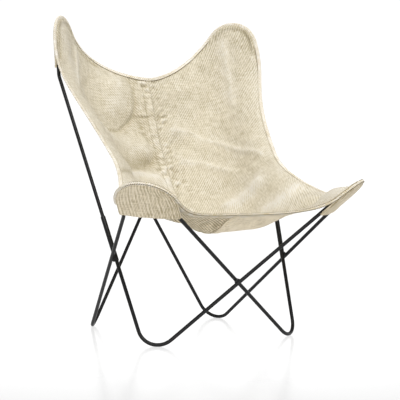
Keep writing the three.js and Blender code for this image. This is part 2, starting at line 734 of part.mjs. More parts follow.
// A pocket closes the outer side of a wing: a patch round at the tip and straight along the
// legs and the mouth, flat behind the rod and drawn in to the hem round its rim
function wingPocket(frameWing, depth) {
  const radius = SLING_EDGE_RADIUS - POCKET_INSET;
  const flank = (shoulder, sign) => {
    const angle = legAngle(frameWing, shoulder);
    const leave = wingPoint(frameWing, sign * angle, radius);
    const run = (radius * Math.cos(angle) + depth - WING_TIP_RADIUS) / Math.sin(angle);
    const mouthEnd = leave.clone().addScaledVector(wingTangent(frameWing, sign * angle), sign * run);
    return joinCurves(
      new THREE.LineCurve3(mouthEnd, leave),
      new WingArc(frameWing, radius, sign * angle, sign * POCKET_TOP_ANGLE),
    );
  };
  const inner = flank(frameWing.inner, -1);
  const outer = flank(frameWing.outer, 1);
  const mouth = new THREE.LineCurve3(inner.getPoint(0), outer.getPoint(0));
  const top = new WingArc(frameWing, radius, -POCKET_TOP_ANGLE, POCKET_TOP_ANGLE);
  const roll = HEM_ROLL / mouth.getLength();
  const acrossShares = withRolls(evenShares(POCKET_CELLS.across), roll, roll);
  const alongShares = withRolls(evenShares(POCKET_CELLS.along), 0, HEM_ROLL / depth);
  const rim = [inner, outer, top].flatMap((edge) => edge.getSpacedPoints(RIM_SAMPLES));
  const points = alongShares.flatMap((b) => acrossShares.map((a) => {
    const point = patchPoint(mouth, top, inner, outer, a, b);
    return point.addScaledVector(frameWing.inwards, -rollLift(nearest(point, rim)));
  }));
  const facesIn = frameWing.sideways.clone().cross(frameWing.rising).dot(frameWing.inwards) > 0;
  if (!facesIn) reverseRows(points, acrossShares.length);
  return sheetSolid(points, alongShares.length, acrossShares.length, CLOTH_THICKNESS);
}

function addFrame(chair, loops) {
  const handName = { [RIGHT]: 'right', [LEFT]: 'left' };
  const leg = (foot, shoulder, radius) => ({ from: foot, to: shoulder, radius });
  for (const side of [LEFT, RIGHT]) {
    const loop = loops[side];
    const other = loops[-side];
    const sleeves = sleevePlaces(loop, other);
    const wingHand = handName[-side];
    addPiece(chair, `${handName[side]}_base_rod`, baseRod(loop, sleeves), ROD_PAINT);
    addPiece(chair, `${wingHand}_back_wing_rod`, backWingRod(loop, sleeves), ROD_PAINT);
    addPiece(chair, `${wingHand}_side_sleeve`, sleeve(sleeves.side), ROD_PAINT);
    addPiece(chair, `${wingHand}_rear_sleeve`, sleeve(sleeves.rear), ROD_PAINT);
    const sleeved = leg(loop.frontFoot, loop.back.outer, SLEEVE_RADIUS);
    const crossed = leg(other.rearFoot, other.front.outer, ROD_RADIUS);
    addPiece(chair, `${wingHand}_side_weld`, weldBead(sleeved, crossed), ROD_PAINT);
  }
  const bothLoops = [loops[LEFT], loops[RIGHT]];
  const innerLeg = (loop, foot, wingName) => leg(loop[foot], loop[wingName].inner, ROD_RADIUS);
  const legs = (foot, wingName) => bothLoops.map((loop) => innerLeg(loop, foot, wingName));
  addPiece(chair, 'front_cross_weld', weldBead(...legs('frontFoot', 'front')), ROD_PAINT);
  addPiece(chair, 'rear_cross_weld', weldBead(...legs('rearFoot', 'back')), ROD_PAINT);
}

function addSling(chair, loops) {
  const halves = {};
  for (const [hand, name] of [[LEFT, 'left'], [RIGHT, 'right']]) {
    const front = loops[hand].front;
    const back = loops[-hand].back;
    const half = slingHalf(hand, slingEdges(hand, front, back), FOLDS[name]);
    const cloth = sheetSolid(half.points, half.rows, half.columns, CLOTH_THICKNESS);
    addPiece(chair, `${name}_sling_half`, cloth, CANVAS);
    addPiece(chair, `${name}_edge_hem`, hemBead(hand, half), HEM_CLOTH);
    addPiece(chair, `${name}_front_pocket`, wingPocket(front, FRONT_POCKET_DEPTH), CANVAS);
    addPiece(chair, `${name}_back_pocket`, wingPocket(back, BACK_POCKET_DEPTH), CANVAS);
    halves[hand] = half;
  }
  addPiece(chair, 'centre_seam_tape', seamTape(halves), HEM_CLOTH);
}

const chair = new THREE.Group();
const loops = frameLoops();
addFrame(chair, loops);
addSling(chair, loops);

const box = new THREE.Box3().setFromObject(chair);
const middle = box.getCenter(new THREE.Vector3());
chair.position.set(-middle.x, -middle.y, -box.min.z);

export default chair;
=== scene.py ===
import math
import bpy
import numpy as np
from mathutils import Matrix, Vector


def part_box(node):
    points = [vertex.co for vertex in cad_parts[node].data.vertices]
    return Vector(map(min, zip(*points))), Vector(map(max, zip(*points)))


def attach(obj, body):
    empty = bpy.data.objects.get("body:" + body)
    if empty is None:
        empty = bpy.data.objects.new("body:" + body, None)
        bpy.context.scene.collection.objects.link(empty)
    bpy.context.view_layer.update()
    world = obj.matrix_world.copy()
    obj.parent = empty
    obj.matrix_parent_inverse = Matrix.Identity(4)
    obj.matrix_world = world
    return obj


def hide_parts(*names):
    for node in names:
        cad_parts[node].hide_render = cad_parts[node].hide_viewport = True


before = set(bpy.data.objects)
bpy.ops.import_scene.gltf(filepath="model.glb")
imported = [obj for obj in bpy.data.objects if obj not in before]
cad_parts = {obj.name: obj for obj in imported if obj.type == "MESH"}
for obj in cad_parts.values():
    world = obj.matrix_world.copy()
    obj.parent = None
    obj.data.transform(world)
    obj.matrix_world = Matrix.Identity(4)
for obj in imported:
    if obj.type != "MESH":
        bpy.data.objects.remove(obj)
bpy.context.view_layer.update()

# Steel rods. Two loops of round steel rod, cold bent, cross each other four times and make the
# feet, the legs and the four round wings. Each loop is a base rod and a back hairpin whose ends
# meet inside two sleeves. All of it has a black satin powder coat. Sizes are in millimetres.
MM = 0.001
RIGHT, LEFT = 1, -1
HAND_NAMES = {RIGHT: "right", LEFT: "left"}
UP = np.array([0.0, 0.0, 1.0])
CENTRE_X, FRONT_SET = -0.92, 0.06
LOOP_SET = 5.5
ROD_RADIUS, ROD_SIDES = 5.0, 24
BEND_STEP = math.radians(5)
RUN_STEP, LEAST_RUN = 30.0, 0.01
OFF_EVERY_RUN = (0.31, 0.87, 0.38)
WING_TIP_RADIUS = 71.0
SHOULDER_BEND, FOOT_BEND = 40.0, 54.0
FRONT_FOOT = (230.5, -167.88, -32.98)
REAR_FOOT = (203.33, 282.13, -31.93)
FRONT_SHOULDERS = ((308.83, -203.88, 343.0), (207.33, -307.88, 343.0))
BACK_SHOULDERS = ((322.5, 216.12, 719.0), (199.5, 358.12, 719.0))
FRONT_RISE, FRONT_LEAN, FRONT_SLIDE = 119.0, math.radians(49.7), -11.0
BACK_RISE = {RIGHT: 172.0, LEFT: 163.0}
BACK_LEAN, BACK_SLIDE = math.radians(7.0), 15.0
SLEEVE_LENGTH, SLEEVE_GRIP = 130.0, 45.0
PLUG_GAP = 0.3
SHARP_EDGE = math.radians(50)
BLACK, WORN_BLACK = (0.004, 0.004, 0.004), (0.009, 0.009, 0.010)
PAINT_GLOSS, PAINT_ROUGHNESS = 0.25, (0.28, 0.42)
PEBBLE_BUMP, PEBBLE_DEPTH = 0.18, 0.0004
NOISE_LOW, NOISE_HIGH = 0.3, 0.7


def unit(vectors):
    """A vector, or each of many, at length one."""
    return vectors / np.linalg.norm(vectors, axis=-1, keepdims=True)


def wing_frame(outer, inner, rise, lean, slide):
    """The plane of a wing: the tip stands over the middle of the two shoulders, leaning outwards,
    and the round top has its centre one tip radius below it."""
    outer, inner = np.array(outer), np.array(inner)
    shoulder_line = unit(outer - inner)
    middle = (outer + inner) / 2
    away = np.cross(shoulder_line, UP)
    away *= np.sign(away @ middle)
    tip = middle + rise * (math.cos(lean) * UP + math.sin(lean) * away) + slide * shoulder_line
    rising = unit(tip - middle)
    sideways = unit(shoulder_line - (shoulder_line @ rising) * rising)
    inwards = np.cross(sideways, rising)
    inwards *= -np.sign(inwards[:2] @ middle[:2])
    centre = tip - WING_TIP_RADIUS * rising
    return dict(outer=outer, inner=inner, tip=tip, rising=rising, sideways=sideways,
                inwards=inwards, centre=centre)


def front_wing(hand):
    """The front wing of one hand. The loops are set apart along Y so that the rods pass."""
    places = [(FRONT_SET + hand * x, y - hand * LOOP_SET, z) for x, y, z in FRONT_SHOULDERS]
    return wing_frame(*places, FRONT_RISE, FRONT_LEAN, FRONT_SLIDE)


def back_wing(hand):
    """The back wing of one hand, on the other loop than the front wing of that hand."""
    places = [(CENTRE_X + hand * x, y + hand * LOOP_SET, z) for x, y, z in BACK_SHOULDERS]
    return wing_frame(*places, BACK_RISE[hand], BACK_LEAN, BACK_SLIDE)


def wing_corners(wing):
    """The two corners that the round top is bent around: each lies on the tip line where the
    tangent from its shoulder to the round top meets it."""
    corners = []
    for shoulder, sign in ((wing["outer"], 1), (wing["inner"], -1)):
        local = shoulder - wing["centre"]
        across = abs(local @ wing["sideways"])
        up = local @ wing["rising"]
        root = math.sqrt(up * up + across * across - WING_TIP_RADIUS ** 2)
        half = (up + root) / (across + WING_TIP_RADIUS)
        reach = WING_TIP_RADIUS * (1 - half) / (1 + half)
        corners.append(wing["tip"] + sign * reach * wing["sideways"])
    return corners


def turned(vector, axis, angles):
    """The vector turned about an axis by each of the angles, by Rodrigues' formula."""
    angles = np.asarray(angles)[..., None]
    along_axis = axis * (axis @ vector)
    return (vector * np.cos(angles) + np.cross(axis, vector) * np.sin(angles)
            + along_axis * (1 - np.cos(angles)))


def bent_path(corners, radii):
    """Centre line of a bent rod: straight runs, each corner rounded by an arc that touches both
    runs. With every point go two directions square to the rod, carried round the bends."""
    into = unit(corners[1] - corners[0])
    side = unit(np.cross(into, OFF_EVERY_RUN))
    start, points, sides, others = corners[0], [], [], []

    def run_to(end, direction):
        """A straight run from where the last bend ended, left out where two bends touch."""
        run = np.linalg.norm(end - start)
        count = max(2, int(run / RUN_STEP)) if run > LEAST_RUN else 0
        points.append(np.linspace(start, end, count, endpoint=False))
        sides.append(np.tile(side, (count, 1)))
        others.append(np.tile(np.cross(direction, side), (count, 1)))

    for before, corner, after, radius in zip(corners, corners[1:], corners[2:], radii):
        into, out = unit(corner - before), unit(after - corner)
        turn = math.acos(into @ out)
        setback = radius * math.tan(turn / 2)
        bend_start = corner - setback * into
        axis = unit(np.cross(into, out))
        run_to(bend_start, into)
        angles = np.linspace(0, turn, max(3, math.ceil(turn / BEND_STEP)), endpoint=False)
        spoke = radius * np.cross(into, axis)
        points.append(bend_start - spoke + turned(spoke, axis, angles))
        sides.append(turned(side, axis, angles))
        others.append(turned(np.cross(into, side), axis, angles))
        side = turned(side, axis, turn)
        start = corner + setback * out
    run_to(corners[-1], out)
    points.append(corners[-1][None])
    sides.append(side[None])
    others.append(np.cross(out, side)[None])
    return np.concatenate(points), np.concatenate(sides), np.concatenate(others)


def grid_faces(rows, columns, round_columns=False, round_rows=False):
    """Quads between neighbouring points of a grid. A round grid joins its last line to its
    first."""
    row, column = np.meshgrid(np.arange(rows - (not round_rows)),
                              np.arange(columns - (not round_columns)), indexing="ij")
    here, below, beside = row * columns, (row + 1) % rows * columns, (column + 1) % columns
    corners = [here + column, here + beside, below + beside, below + column]
    return np.stack(corners, -1).reshape(-1, 4)


def facing_out(points, faces):
    """The faces, turned over if the volume that they enclose comes out negative."""
    corner = [points[faces[:, k]] for k in range(4)]
    volume = sum(np.sum(corner[0] * np.cross(corner[k], corner[k + 1])) for k in (1, 2))
    return faces if volume > 0 else faces[:, ::-1]


def end_caps(faces, rings, sides):
    """The two end faces of a bar made of rings of points, turned the way that its sides are."""
    first, last = np.arange(sides), np.arange(sides) + (rings - 1) * sides
    return (first[::-1], last) if faces[0, 0] == 0 else (first, last[::-1])


def new_piece(name, points, faces, material, slot, nodes=(), caps=()):
    """A smooth mesh piece at the origin from points in millimetres. It rides on the chair's one
    body, takes the given material and stands for its CAD nodes. The slot is not used."""
    mesh = bpy.data.meshes.new(name)
    mesh.from_pydata((points * MM).tolist(), [], faces.tolist() + [cap.tolist() for cap in caps])
    mesh.validate()
    mesh.shade_smooth()
    mesh.set_sharp_from_angle(angle=SHARP_EDGE)
    piece = bpy.data.objects.new(name, mesh)
    bpy.context.scene.collection.objects.link(piece)
    mesh.materials.append(material)
    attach(piece, "root")
    if nodes:
        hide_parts(*nodes)
    return piece


def round_rod(name, node, corners, radii):
    """A round bar: a circle of the rod's radius carried along its bent path, flat at the floor."""
    path, sides, others = bent_path([np.asarray(c, float) for c in corners], radii)
    angles = np.linspace(0, 2 * math.pi, ROD_SIDES, endpoint=False)[:, None]
    ring = np.cos(angles) * sides[:, None] + np.sin(angles) * others[:, None]
    points = (path[:, None] + ROD_RADIUS * ring).reshape(-1, 3)
    points[:, 2] = np.maximum(points[:, 2], 0.0)
    faces = facing_out(points, grid_faces(len(path), ROD_SIDES, round_columns=True))
    caps = end_caps(faces, len(path), ROD_SIDES)
    return new_piece(name, points, faces, rod_paint, "rod_paint", [node], caps)


def node_chain(material, *kinds):
    """New shader nodes of the given kinds in a material, in order."""
    return [material.node_tree.nodes.new("ShaderNode" + kind) for kind in kinds]


def new_material(name, roughness):
    """A material with a Principled shader and its Object coordinates."""
    material = bpy.data.materials.new(name)
    material.use_nodes = True
    material.node_tree.nodes.clear()
    shader, output, place = node_chain(material, "BsdfPrincipled", "OutputMaterial", "TexCoord")
    shader.inputs["Roughness"].default_value = roughness
    material.node_tree.links.new(shader.outputs["BSDF"], output.inputs["Surface"])
    return material, shader, place.outputs["Object"]


def noise(material, place, scale, detail=2.0, roughness=0.5, stretch=None):
    """The value of a noise texture, drawn out along its axes by stretch where that is given."""
    texture, = node_chain(material, "TexNoise")
    texture.inputs["Scale"].default_value = scale
    texture.inputs["Detail"].default_value = detail
    texture.inputs["Roughness"].default_value = roughness
    if stretch:
        mapping, = node_chain(material, "Mapping")
        mapping.inputs["Scale"].default_value = stretch
        material.node_tree.links.new(place, mapping.inputs["Vector"])
        place = mapping.outputs["Vector"]
    material.node_tree.links.new(place, texture.inputs["Vector"])
    return texture.outputs["Fac"]


def in_range(material, value, low, high, new_low, new_high):
    """The value moved from one range to another, held at the ends."""
    mapped, = node_chain(material, "MapRange")
    for socket, number in zip(mapped.inputs[1:5], (low, high, new_low, new_high)):
        socket.default_value = number
    material.node_tree.links.new(value, mapped.inputs["Value"])
    return mapped.outputs["Result"]


def colours(material, value, *stops):
    """A colour ramp over the value, with stops of place and linear colour."""
    ramp, = node_chain(material, "ValToRGB")
    while len(ramp.color_ramp.elements) < len(stops):
        ramp.color_ramp.elements.new(0.5)
    for element, (at, colour) in zip(ramp.color_ramp.elements, stops):
        element.position = at
        element.color = (*colour, 1)
    material.node_tree.links.new(value, ramp.inputs["Fac"])
    return ramp.outputs["Color"]


def bumped(material, shader, height, strength, depth):
    """The shader's normals, tilted by the slope of the height times the depth in metres."""
    bump, = node_chain(material, "Bump")
    bump.inputs["Strength"].default_value = strength
    bump.inputs["Distance"].default_value = depth
    material.node_tree.links.new(height, bump.inputs["Height"])
    material.node_tree.links.new(bump.outputs["Normal"], shader.inputs["Normal"])


def rod_paint_material():
    """Black satin powder coat: a fine pebbled skin with cloudy patches of duller and shinier
    black."""
    material, shader, place = new_material("rod_paint", PAINT_ROUGHNESS[1])
    links = material.node_tree.links
    cloudy = noise(material, place, scale=14, detail=4, roughness=0.6)
    pebbles = noise(material, place, scale=420, detail=3, roughness=0.6)
    black = colours(material, cloudy, (NOISE_LOW, BLACK), (NOISE_HIGH, WORN_BLACK))
    links.new(black, shader.inputs["Base Color"])
    shader.inputs["Specular IOR Level"].default_value = PAINT_GLOSS
    dull = in_range(material, cloudy, NOISE_LOW, NOISE_HIGH, *PAINT_ROUGHNESS)
    links.new(dull, shader.inputs["Roughness"])
    bumped(material, shader, pebbles, PEBBLE_BUMP, PEBBLE_DEPTH)
    return material


def node_centre(node):
    """The middle of a CAD node's box, in millimetres."""
    low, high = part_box(node)
    return np.array((low + high) / 2) / MM


rod_paint = rod_paint_material()
legs = {}
for hand in (RIGHT, LEFT):
    front, back = front_wing(hand), back_wing(-hand)
    name, other = HAND_NAMES[hand], HAND_NAMES[-hand]
    x, y, z = FRONT_FOOT
    front_foot = np.array((CENTRE_X - hand * x, y - hand * LOOP_SET, z))
    x, y, z = REAR_FOOT
    rear_foot = np.array((FRONT_SET + hand * x, y - hand * LOOP_SET, z))
    side_run, rear_run = unit(back["outer"] - front_foot), unit(back["inner"] - rear_foot)
    above_middle = SLEEVE_GRIP - SLEEVE_LENGTH / 2
    side_joint = node_centre(f"{other}_side_sleeve") + above_middle * side_run
    rear_joint = node_centre(f"{other}_rear_sleeve") + above_middle * rear_run
    outer_corner, inner_corner = wing_corners(front)
    round_rod(
        f"{name}_base_bar", f"{name}_base_rod",
        [side_joint, front_foot, front["inner"], inner_corner, outer_corner, front["outer"],
         rear_foot, rear_joint],
        [FOOT_BEND, SHOULDER_BEND, WING_TIP_RADIUS, WING_TIP_RADIUS, SHOULDER_BEND, FOOT_BEND])
    outer_corner, inner_corner = wing_corners(back)
    round_rod(
        f"{other}_back_hairpin", f"{other}_back_wing_rod",
        [side_joint + PLUG_GAP * side_run, back["outer"], outer_corner, inner_corner,
         back["inner"], rear_joint + PLUG_GAP * rear_run],
        [SHOULDER_BEND, WING_TIP_RADIUS, WING_TIP_RADIUS, SHOULDER_BEND])
    legs[hand] = dict(side=(front_foot, back["outer"]), rear=(rear_foot, back["inner"]),
                      front=(front_foot, front["inner"]), flank=(rear_foot, front["outer"]))

# Sleeves. Four short steel tubes hold the ends of the back hairpins on the base rods. Two show on
# the side legs. They are cut from tube, the rims broken with a file, and painted with the frame.
SLEEVE_RADIUS, SLEEVE_BORE = 6.75, 5.3
SLEEVE_SIDES = 32
RIM_ROUND, RIM_POINTS = 0.6, 5


def sleeve_piece(name, node, run):
    """A tube: the outline of its wall, with rounded rims, turned round the leg's direction."""
    half = SLEEVE_LENGTH / 2
    quarter = np.linspace(0, math.pi / 2, RIM_POINTS)
    rim_out = SLEEVE_RADIUS - RIM_ROUND + RIM_ROUND * np.sin(quarter)
    rim_up = half - RIM_ROUND + RIM_ROUND * np.cos(quarter)
    radius = np.concatenate([[SLEEVE_BORE], rim_out, rim_out[::-1], [SLEEVE_BORE]])
    height = np.concatenate([[half], rim_up, -rim_up[::-1], [-half]])
    side = unit(np.cross(run, UP))
    other_side = np.cross(run, side)
    angles = np.linspace(0, 2 * math.pi, SLEEVE_SIDES, endpoint=False)[:, None]
    ring = np.cos(angles) * side + np.sin(angles) * other_side
    points = node_centre(node) + radius[:, None, None] * ring + height[:, None, None] * run
    points = points.reshape(-1, 3)
    faces = grid_faces(len(radius), SLEEVE_SIDES, round_columns=True, round_rows=True)
    return new_piece(name, points, facing_out(points, faces), rod_paint, "rod_paint", [node])


for hand in (RIGHT, LEFT):
    for leg in ("side", "rear"):
        foot, shoulder = legs[hand][leg]
        place = f"{HAND_NAMES[-hand]}_{leg}"
        sleeve_piece(f"{place}_tube", f"{place}_sleeve", unit(shoulder - foot))

# Welds. A bead of weld metal fills the corners where two bars cross, at the front, at the rear and
# at both sides. The beads are laid by hand in short ripples and painted over with the frame.
WELD_LONG, WELD_SHORT = 9.2, 5.6
WELD_RINGS, WELD_SIDES = 28, 48
RIPPLES, RIPPLE_HEIGHT, RIPPLE_SLANT = 9, 0.06, 3
LUMPS, LUMP_HEIGHT, LUMP_TURN = 2, 0.05, 0.6


def crossing(first, second):
    """The nearest points of two straight bars, from the two equations that make the joining line
    square to both."""
    (a, a_end), (b, b_end) = first, second
    run_a, run_b, apart = a_end - a, b_end - b, b - a
    table = np.array([[run_a @ run_a, -run_a @ run_b], [run_a @ run_b, -run_b @ run_b]])
    share_a, share_b = np.linalg.solve(table, (apart @ run_a, apart @ run_b))
    return a + share_a * run_a, b + share_b * run_b


def weld_bead(place, first, second):
    """A lumpy bead: a flattened ball between two crossing bars, drawn out along both of them and
    rippled round its middle, with small flat ends inside the bars."""
    on_first, on_second = crossing(first, second)
    way = unit(on_second - on_first)
    axis_a = unit(first[1] - first[0])
    axis_b = np.cross(way, axis_a)
    turn = np.linspace(0, 2 * math.pi, WELD_SIDES, endpoint=False)
    rise = np.linspace(-math.pi / 2, math.pi / 2, WELD_RINGS + 2)[1:-1, None]
    ripple = (1 + RIPPLE_HEIGHT * np.cos(RIPPLES * turn + RIPPLE_SLANT * rise)
              + LUMP_HEIGHT * np.cos(LUMPS * turn + LUMP_TURN))
    flat = WELD_LONG * np.cos(rise) * ripple
    points = ((on_first + on_second) / 2 + (flat * np.cos(turn))[..., None] * axis_a
              + (flat * np.sin(turn))[..., None] * axis_b
              + (WELD_SHORT * np.sin(rise) * np.ones_like(turn))[..., None] * way)
    points = points.reshape(-1, 3)
    faces = facing_out(points, grid_faces(WELD_RINGS, WELD_SIDES, round_columns=True))
    return new_piece(f"{place}_bead", points, faces, rod_paint, "rod_paint", [f"{place}_weld"],
                     end_caps(faces, WELD_RINGS, WELD_SIDES))


weld_bead("front_cross", legs[LEFT]["front"], legs[RIGHT]["front"])
weld_bead("rear_cross", legs[LEFT]["rear"], legs[RIGHT]["rear"])
for hand in (RIGHT, LEFT):
    weld_bead(f"{HAND_NAMES[-hand]}_side", legs[hand]["side"], legs[-hand]["flank"])

# Sling halves. The seat is two mirrored halves of heavy ecru canvas, sewn along the centre line
# and hung from the four wings by corner pockets. The cloth sags between the wings, stands up in a
# ridge where a rod runs under it and keeps the creases of use.
EDGE_RADIUS = WING_TIP_RADIUS + 10.5
CLOTH, HALF_GAP = 2.0, 0.3
FRONT_WRAP, SIDE_FRONT_WRAP = math.radians(71), math.radians(92)
TOP_WRAP, SIDE_BACK_WRAP = math.radians(59), math.radians(66)
SEAT_FRONT = np.array([CENTRE_X, -238.88, 340.0])
SEAT_LOW = np.array([CENTRE_X, -102.88, 280.0])
BACK_TOP = np.array([CENTRE_X, 306.12, 723.0])
WAIST_OUT, WAIST_Y, WAIST_Z = 256.0, -6.88, 495.0
WAIST_FALL, WAIST_TOE_IN = math.radians(43.5), math.radians(6.8)
SEAM_TOP_LEAN = math.radians(17.5)
FRONT_PULLS, TOP_PULLS = (132.0, 67.0), (35.0, 138.0)
LOW_SIDE_PULLS, HIGH_SIDE_PULLS = (12.0, 102.0), (287.0, 133.0)
SEAT_PULLS, BACK_PULLS = (50.0, 45.0), (190.0, 300.0)
CURVE_POINTS, ARC_POINTS, ROD_LINE_POINTS = 240, 160, 400
CUT_WIDTH, CUT_LENGTH = 380.0, 935.0
SEAM_STEP, FINE_STEP, WIDE_STEP = 2.2, 1.3, 3.8
STEP_GROWTH, GRADE_POINTS = 0.07, 4000
RIM_STEP = 1.5
NORMAL_PASSES, TINY = 4, 1e-9
WAVE_COUNT, WAVE_SPREAD, WAVE_CALM = 12, (0.75, 1.35), 4.0
WING_BORDER, WING_LIFT = (92.0, 125.0), 1.3
SAG_LIFT, SAG_REACH = 6.0, (4.0, 70.0)
ROD_CLEAR, ROD_NEAR = 6.8, 40.0
RIDGE_WIDTH, RIDGE_START = 6.5, (3.0, 6.5)
PAST_SEAM, PAST_SEAM_POINTS = 260.0, 60


def on_wing(wing, angles, radius):
    """Points of a circle in a wing's plane, at angles off the tip."""
    angles = np.asarray(angles)[..., None]
    spoke = np.sin(angles) * wing["sideways"] + np.cos(angles) * wing["rising"]
    return wing["centre"] + radius * spoke


def wing_tangent(wing, angle):
    """The direction along the round top, at an angle off the tip."""
    return math.cos(angle) * wing["sideways"] - math.sin(angle) * wing["rising"]


def bezier(start, start_way, end, end_way, pulls):
    """A cubic curve that leaves its start one way and comes to its end another way. Its handles
    lie along these ways, after the start and before the end, at the lengths of the two pulls."""
    first, second = start + pulls[0] * start_way, end - pulls[1] * end_way
    t = np.linspace(0, 1, CURVE_POINTS)[:, None]
    return ((1 - t) ** 3 * start + 3 * t * (1 - t) ** 2 * first
            + 3 * t ** 2 * (1 - t) * second + t ** 3 * end)


def joined(*curves):
    """Curves end to end as one line of points."""
    return np.concatenate([curves[0]] + [curve[1:] for curve in curves[1:]])


def lengths(line):
    """The length along a line of points, from its start to each point."""
    return np.concatenate([[0], np.cumsum(np.linalg.norm(np.diff(line, axis=0), axis=1))])


def at_lengths(line, places, values=None):
    """Points of a line, or values given along it, at lengths from its start."""
    columns = (line if values is None else values).T
    return np.stack([np.interp(places, lengths(line), column) for column in columns], -1)


def dotted(*lines):
    """Points at even steps along several lines."""
    return np.concatenate([at_lengths(line, np.arange(0, lengths(line)[-1], RIM_STEP))
                           for line in lines])


def sling_edges(hand):
    """The four edges of a half: the front edge and the top edge from the seam to a wing tip, the
    centre seam, and the side edge from wing tip to wing tip. They are arcs round the wings and
    cubic curves where the cloth is free."""
    front, back = front_wing(hand), back_wing(hand)
    out, backwards = np.array([hand, 0.0, 0.0]), np.array([0.0, 1.0, 0.0])
    seam_top = np.array([0.0, math.sin(SEAM_TOP_LEAN), math.cos(SEAM_TOP_LEAN)])
    waist = np.array([CENTRE_X + hand * WAIST_OUT, WAIST_Y, WAIST_Z])
    waist_way = np.array([hand * math.sin(WAIST_TOE_IN),
                          math.cos(WAIST_FALL) * math.cos(WAIST_TOE_IN),
                          math.sin(WAIST_FALL) * math.cos(WAIST_TOE_IN)])

    def arc(wing, start, end):
        """The cloth's edge round a wing, from angle to angle."""
        return on_wing(wing, np.linspace(start, end, ARC_POINTS), EDGE_RADIUS)

    def leaving(wing, angle, sign=1):
        """Where the edge leaves a wing, and the way it goes there."""
        return on_wing(wing, angle, EDGE_RADIUS), sign * wing_tangent(wing, angle)

    front_edge = joined(
        bezier(SEAT_FRONT, out, *leaving(front, -FRONT_WRAP), FRONT_PULLS),
        arc(front, -FRONT_WRAP, 0))
    top_edge = joined(
        bezier(BACK_TOP, out, *leaving(back, -TOP_WRAP), TOP_PULLS),
        arc(back, -TOP_WRAP, 0))
    side_edge = joined(
        arc(front, 0, SIDE_FRONT_WRAP),
        bezier(*leaving(front, SIDE_FRONT_WRAP), waist, waist_way, LOW_SIDE_PULLS),
        bezier(waist, waist_way, *leaving(back, SIDE_BACK_WRAP, -1), HIGH_SIDE_PULLS),
        arc(back, SIDE_BACK_WRAP, 0))
    seam = joined(
        bezier(SEAT_FRONT, unit(SEAT_LOW - SEAT_FRONT), SEAT_LOW, backwards, SEAT_PULLS),
        bezier(SEAT_LOW, backwards, BACK_TOP, seam_top, BACK_PULLS))
    return front_edge, top_edge, seam, side_edge


def patch(bottom, top, left, right, across, along):
    """Points of a smooth patch between four edges, at shares across and along it: the two blends
    of opposite edges, less the blend of the four corners."""
    def edge(line, shares):
        """Points at shares of an edge's length."""
        return at_lengths(line, shares * lengths(line)[-1])

    a, b = across[..., None], along[..., None]
    corners = ((1 - a) * (1 - b) * bottom[0] + a * (1 - b) * bottom[-1]
               + (1 - a) * b * top[0] + a * b * top[-1])
    return ((1 - a) * edge(left, along) + a * edge(right, along)
            + (1 - b) * edge(bottom, across) + b * edge(top, across) - corners)


def graded_shares(length, first_step, last_step):
    """Shares along an edge: steps start and end fine and widen with the distance from the ends."""
    place = np.linspace(0, length, GRADE_POINTS)
    step = np.minimum(first_step + STEP_GROWTH * place,
                      last_step + STEP_GROWTH * (length - place))
    step = np.minimum(step, WIDE_STEP)
    count = np.concatenate([[0], np.cumsum(np.diff(place) / step[1:])])
    return np.interp(np.linspace(0, count[-1], int(count[-1]) + 1), count, place) / length


def grid_normals(points, hand):
    """Directions square to a grid, towards the sitter, evened out between neighbours."""
    normals = np.cross(np.gradient(points, axis=1), np.gradient(points, axis=0)) * hand
    for _ in range(NORMAL_PASSES):
        normals /= np.linalg.norm(normals, axis=-1, keepdims=True) + TINY
        padded = np.pad(normals, ((1, 1), (1, 1), (0, 0)), mode="edge")
        normals = (padded[:-2, 1:-1] + padded[2:, 1:-1] + padded[1:-1, :-2] + padded[1:-1, 2:]
                   + 2 * normals)
    return unit(normals)


def nearest(points, line):
    """For each point the distance to a line of points and the way to its nearest point."""
    flat = points.reshape(-1, 3)
    square = (flat ** 2).sum(1)[:, None] + (line ** 2).sum(1) - 2 * flat @ line.T
    way = line[square.argmin(1)] - flat
    return np.linalg.norm(way, axis=1).reshape(points.shape[:-1]), way.reshape(points.shape)


def smooth(value, low, high):
    """Nought below low, one above high and an even S between them."""
    share = np.clip((value - low) / (high - low), 0, 1)
    return share * share * (3 - 2 * share)


def bell(distance, width):
    """One at no distance, falling off on both sides as a bell of the given width."""
    return np.exp(-(distance / width) ** 2)


def waves(seed, wavelength, *places):
    """Gentle unevenness: a dozen waves in random directions, all near one wavelength, added up
    and calmed so that most of it lies within one."""
    draw = np.random.default_rng(seed)
    total = 0.0
    for _ in range(WAVE_COUNT):
        direction = draw.normal(size=len(places))
        length = np.linalg.norm(direction) * wavelength * draw.uniform(*WAVE_SPREAD)
        direction *= 2 * math.pi / length
        phase = draw.uniform(0, 2 * math.pi)
        total = total + np.cos(sum(d * p for d, p in zip(direction, places)) + phase)
    return total / WAVE_CALM


def evened(values, window):
    """Rows of values, each the mean of a window of its neighbours, the ends held."""
    padded = np.pad(values, ((window // 2, window // 2), (0, 0)), mode="edge")
    mean = np.ones(window) / window
    return np.stack([np.convolve(column, mean, "valid") for column in padded.T], -1)


def wing_rod_line(wing):
    """The rod under a wing's cloth: both legs from the shoulders and the round top, as points."""
    outer_corner, inner_corner = wing_corners(wing)
    path = bent_path([wing["outer"], outer_corner, inner_corner, wing["inner"]],
                     [WING_TIP_RADIUS, WING_TIP_RADIUS])[0]
    return at_lengths(path, np.linspace(0, lengths(path)[-1], ROD_LINE_POINTS))


def row_lengths(grid):
    """The length along each row of a grid, from its start to each point."""
    steps = np.linalg.norm(np.diff(grid, axis=1), axis=-1)
    return np.cumsum(np.pad(steps, ((0, 0), (1, 0))), axis=1)


def own_side(points, hand, gap):
    """The points, with those nearer to the centre plane than the gap moved out to it."""
    points[..., 0] = hand * np.maximum(hand * (points[..., 0] - CENTRE_X), gap) + CENTRE_X
    return points
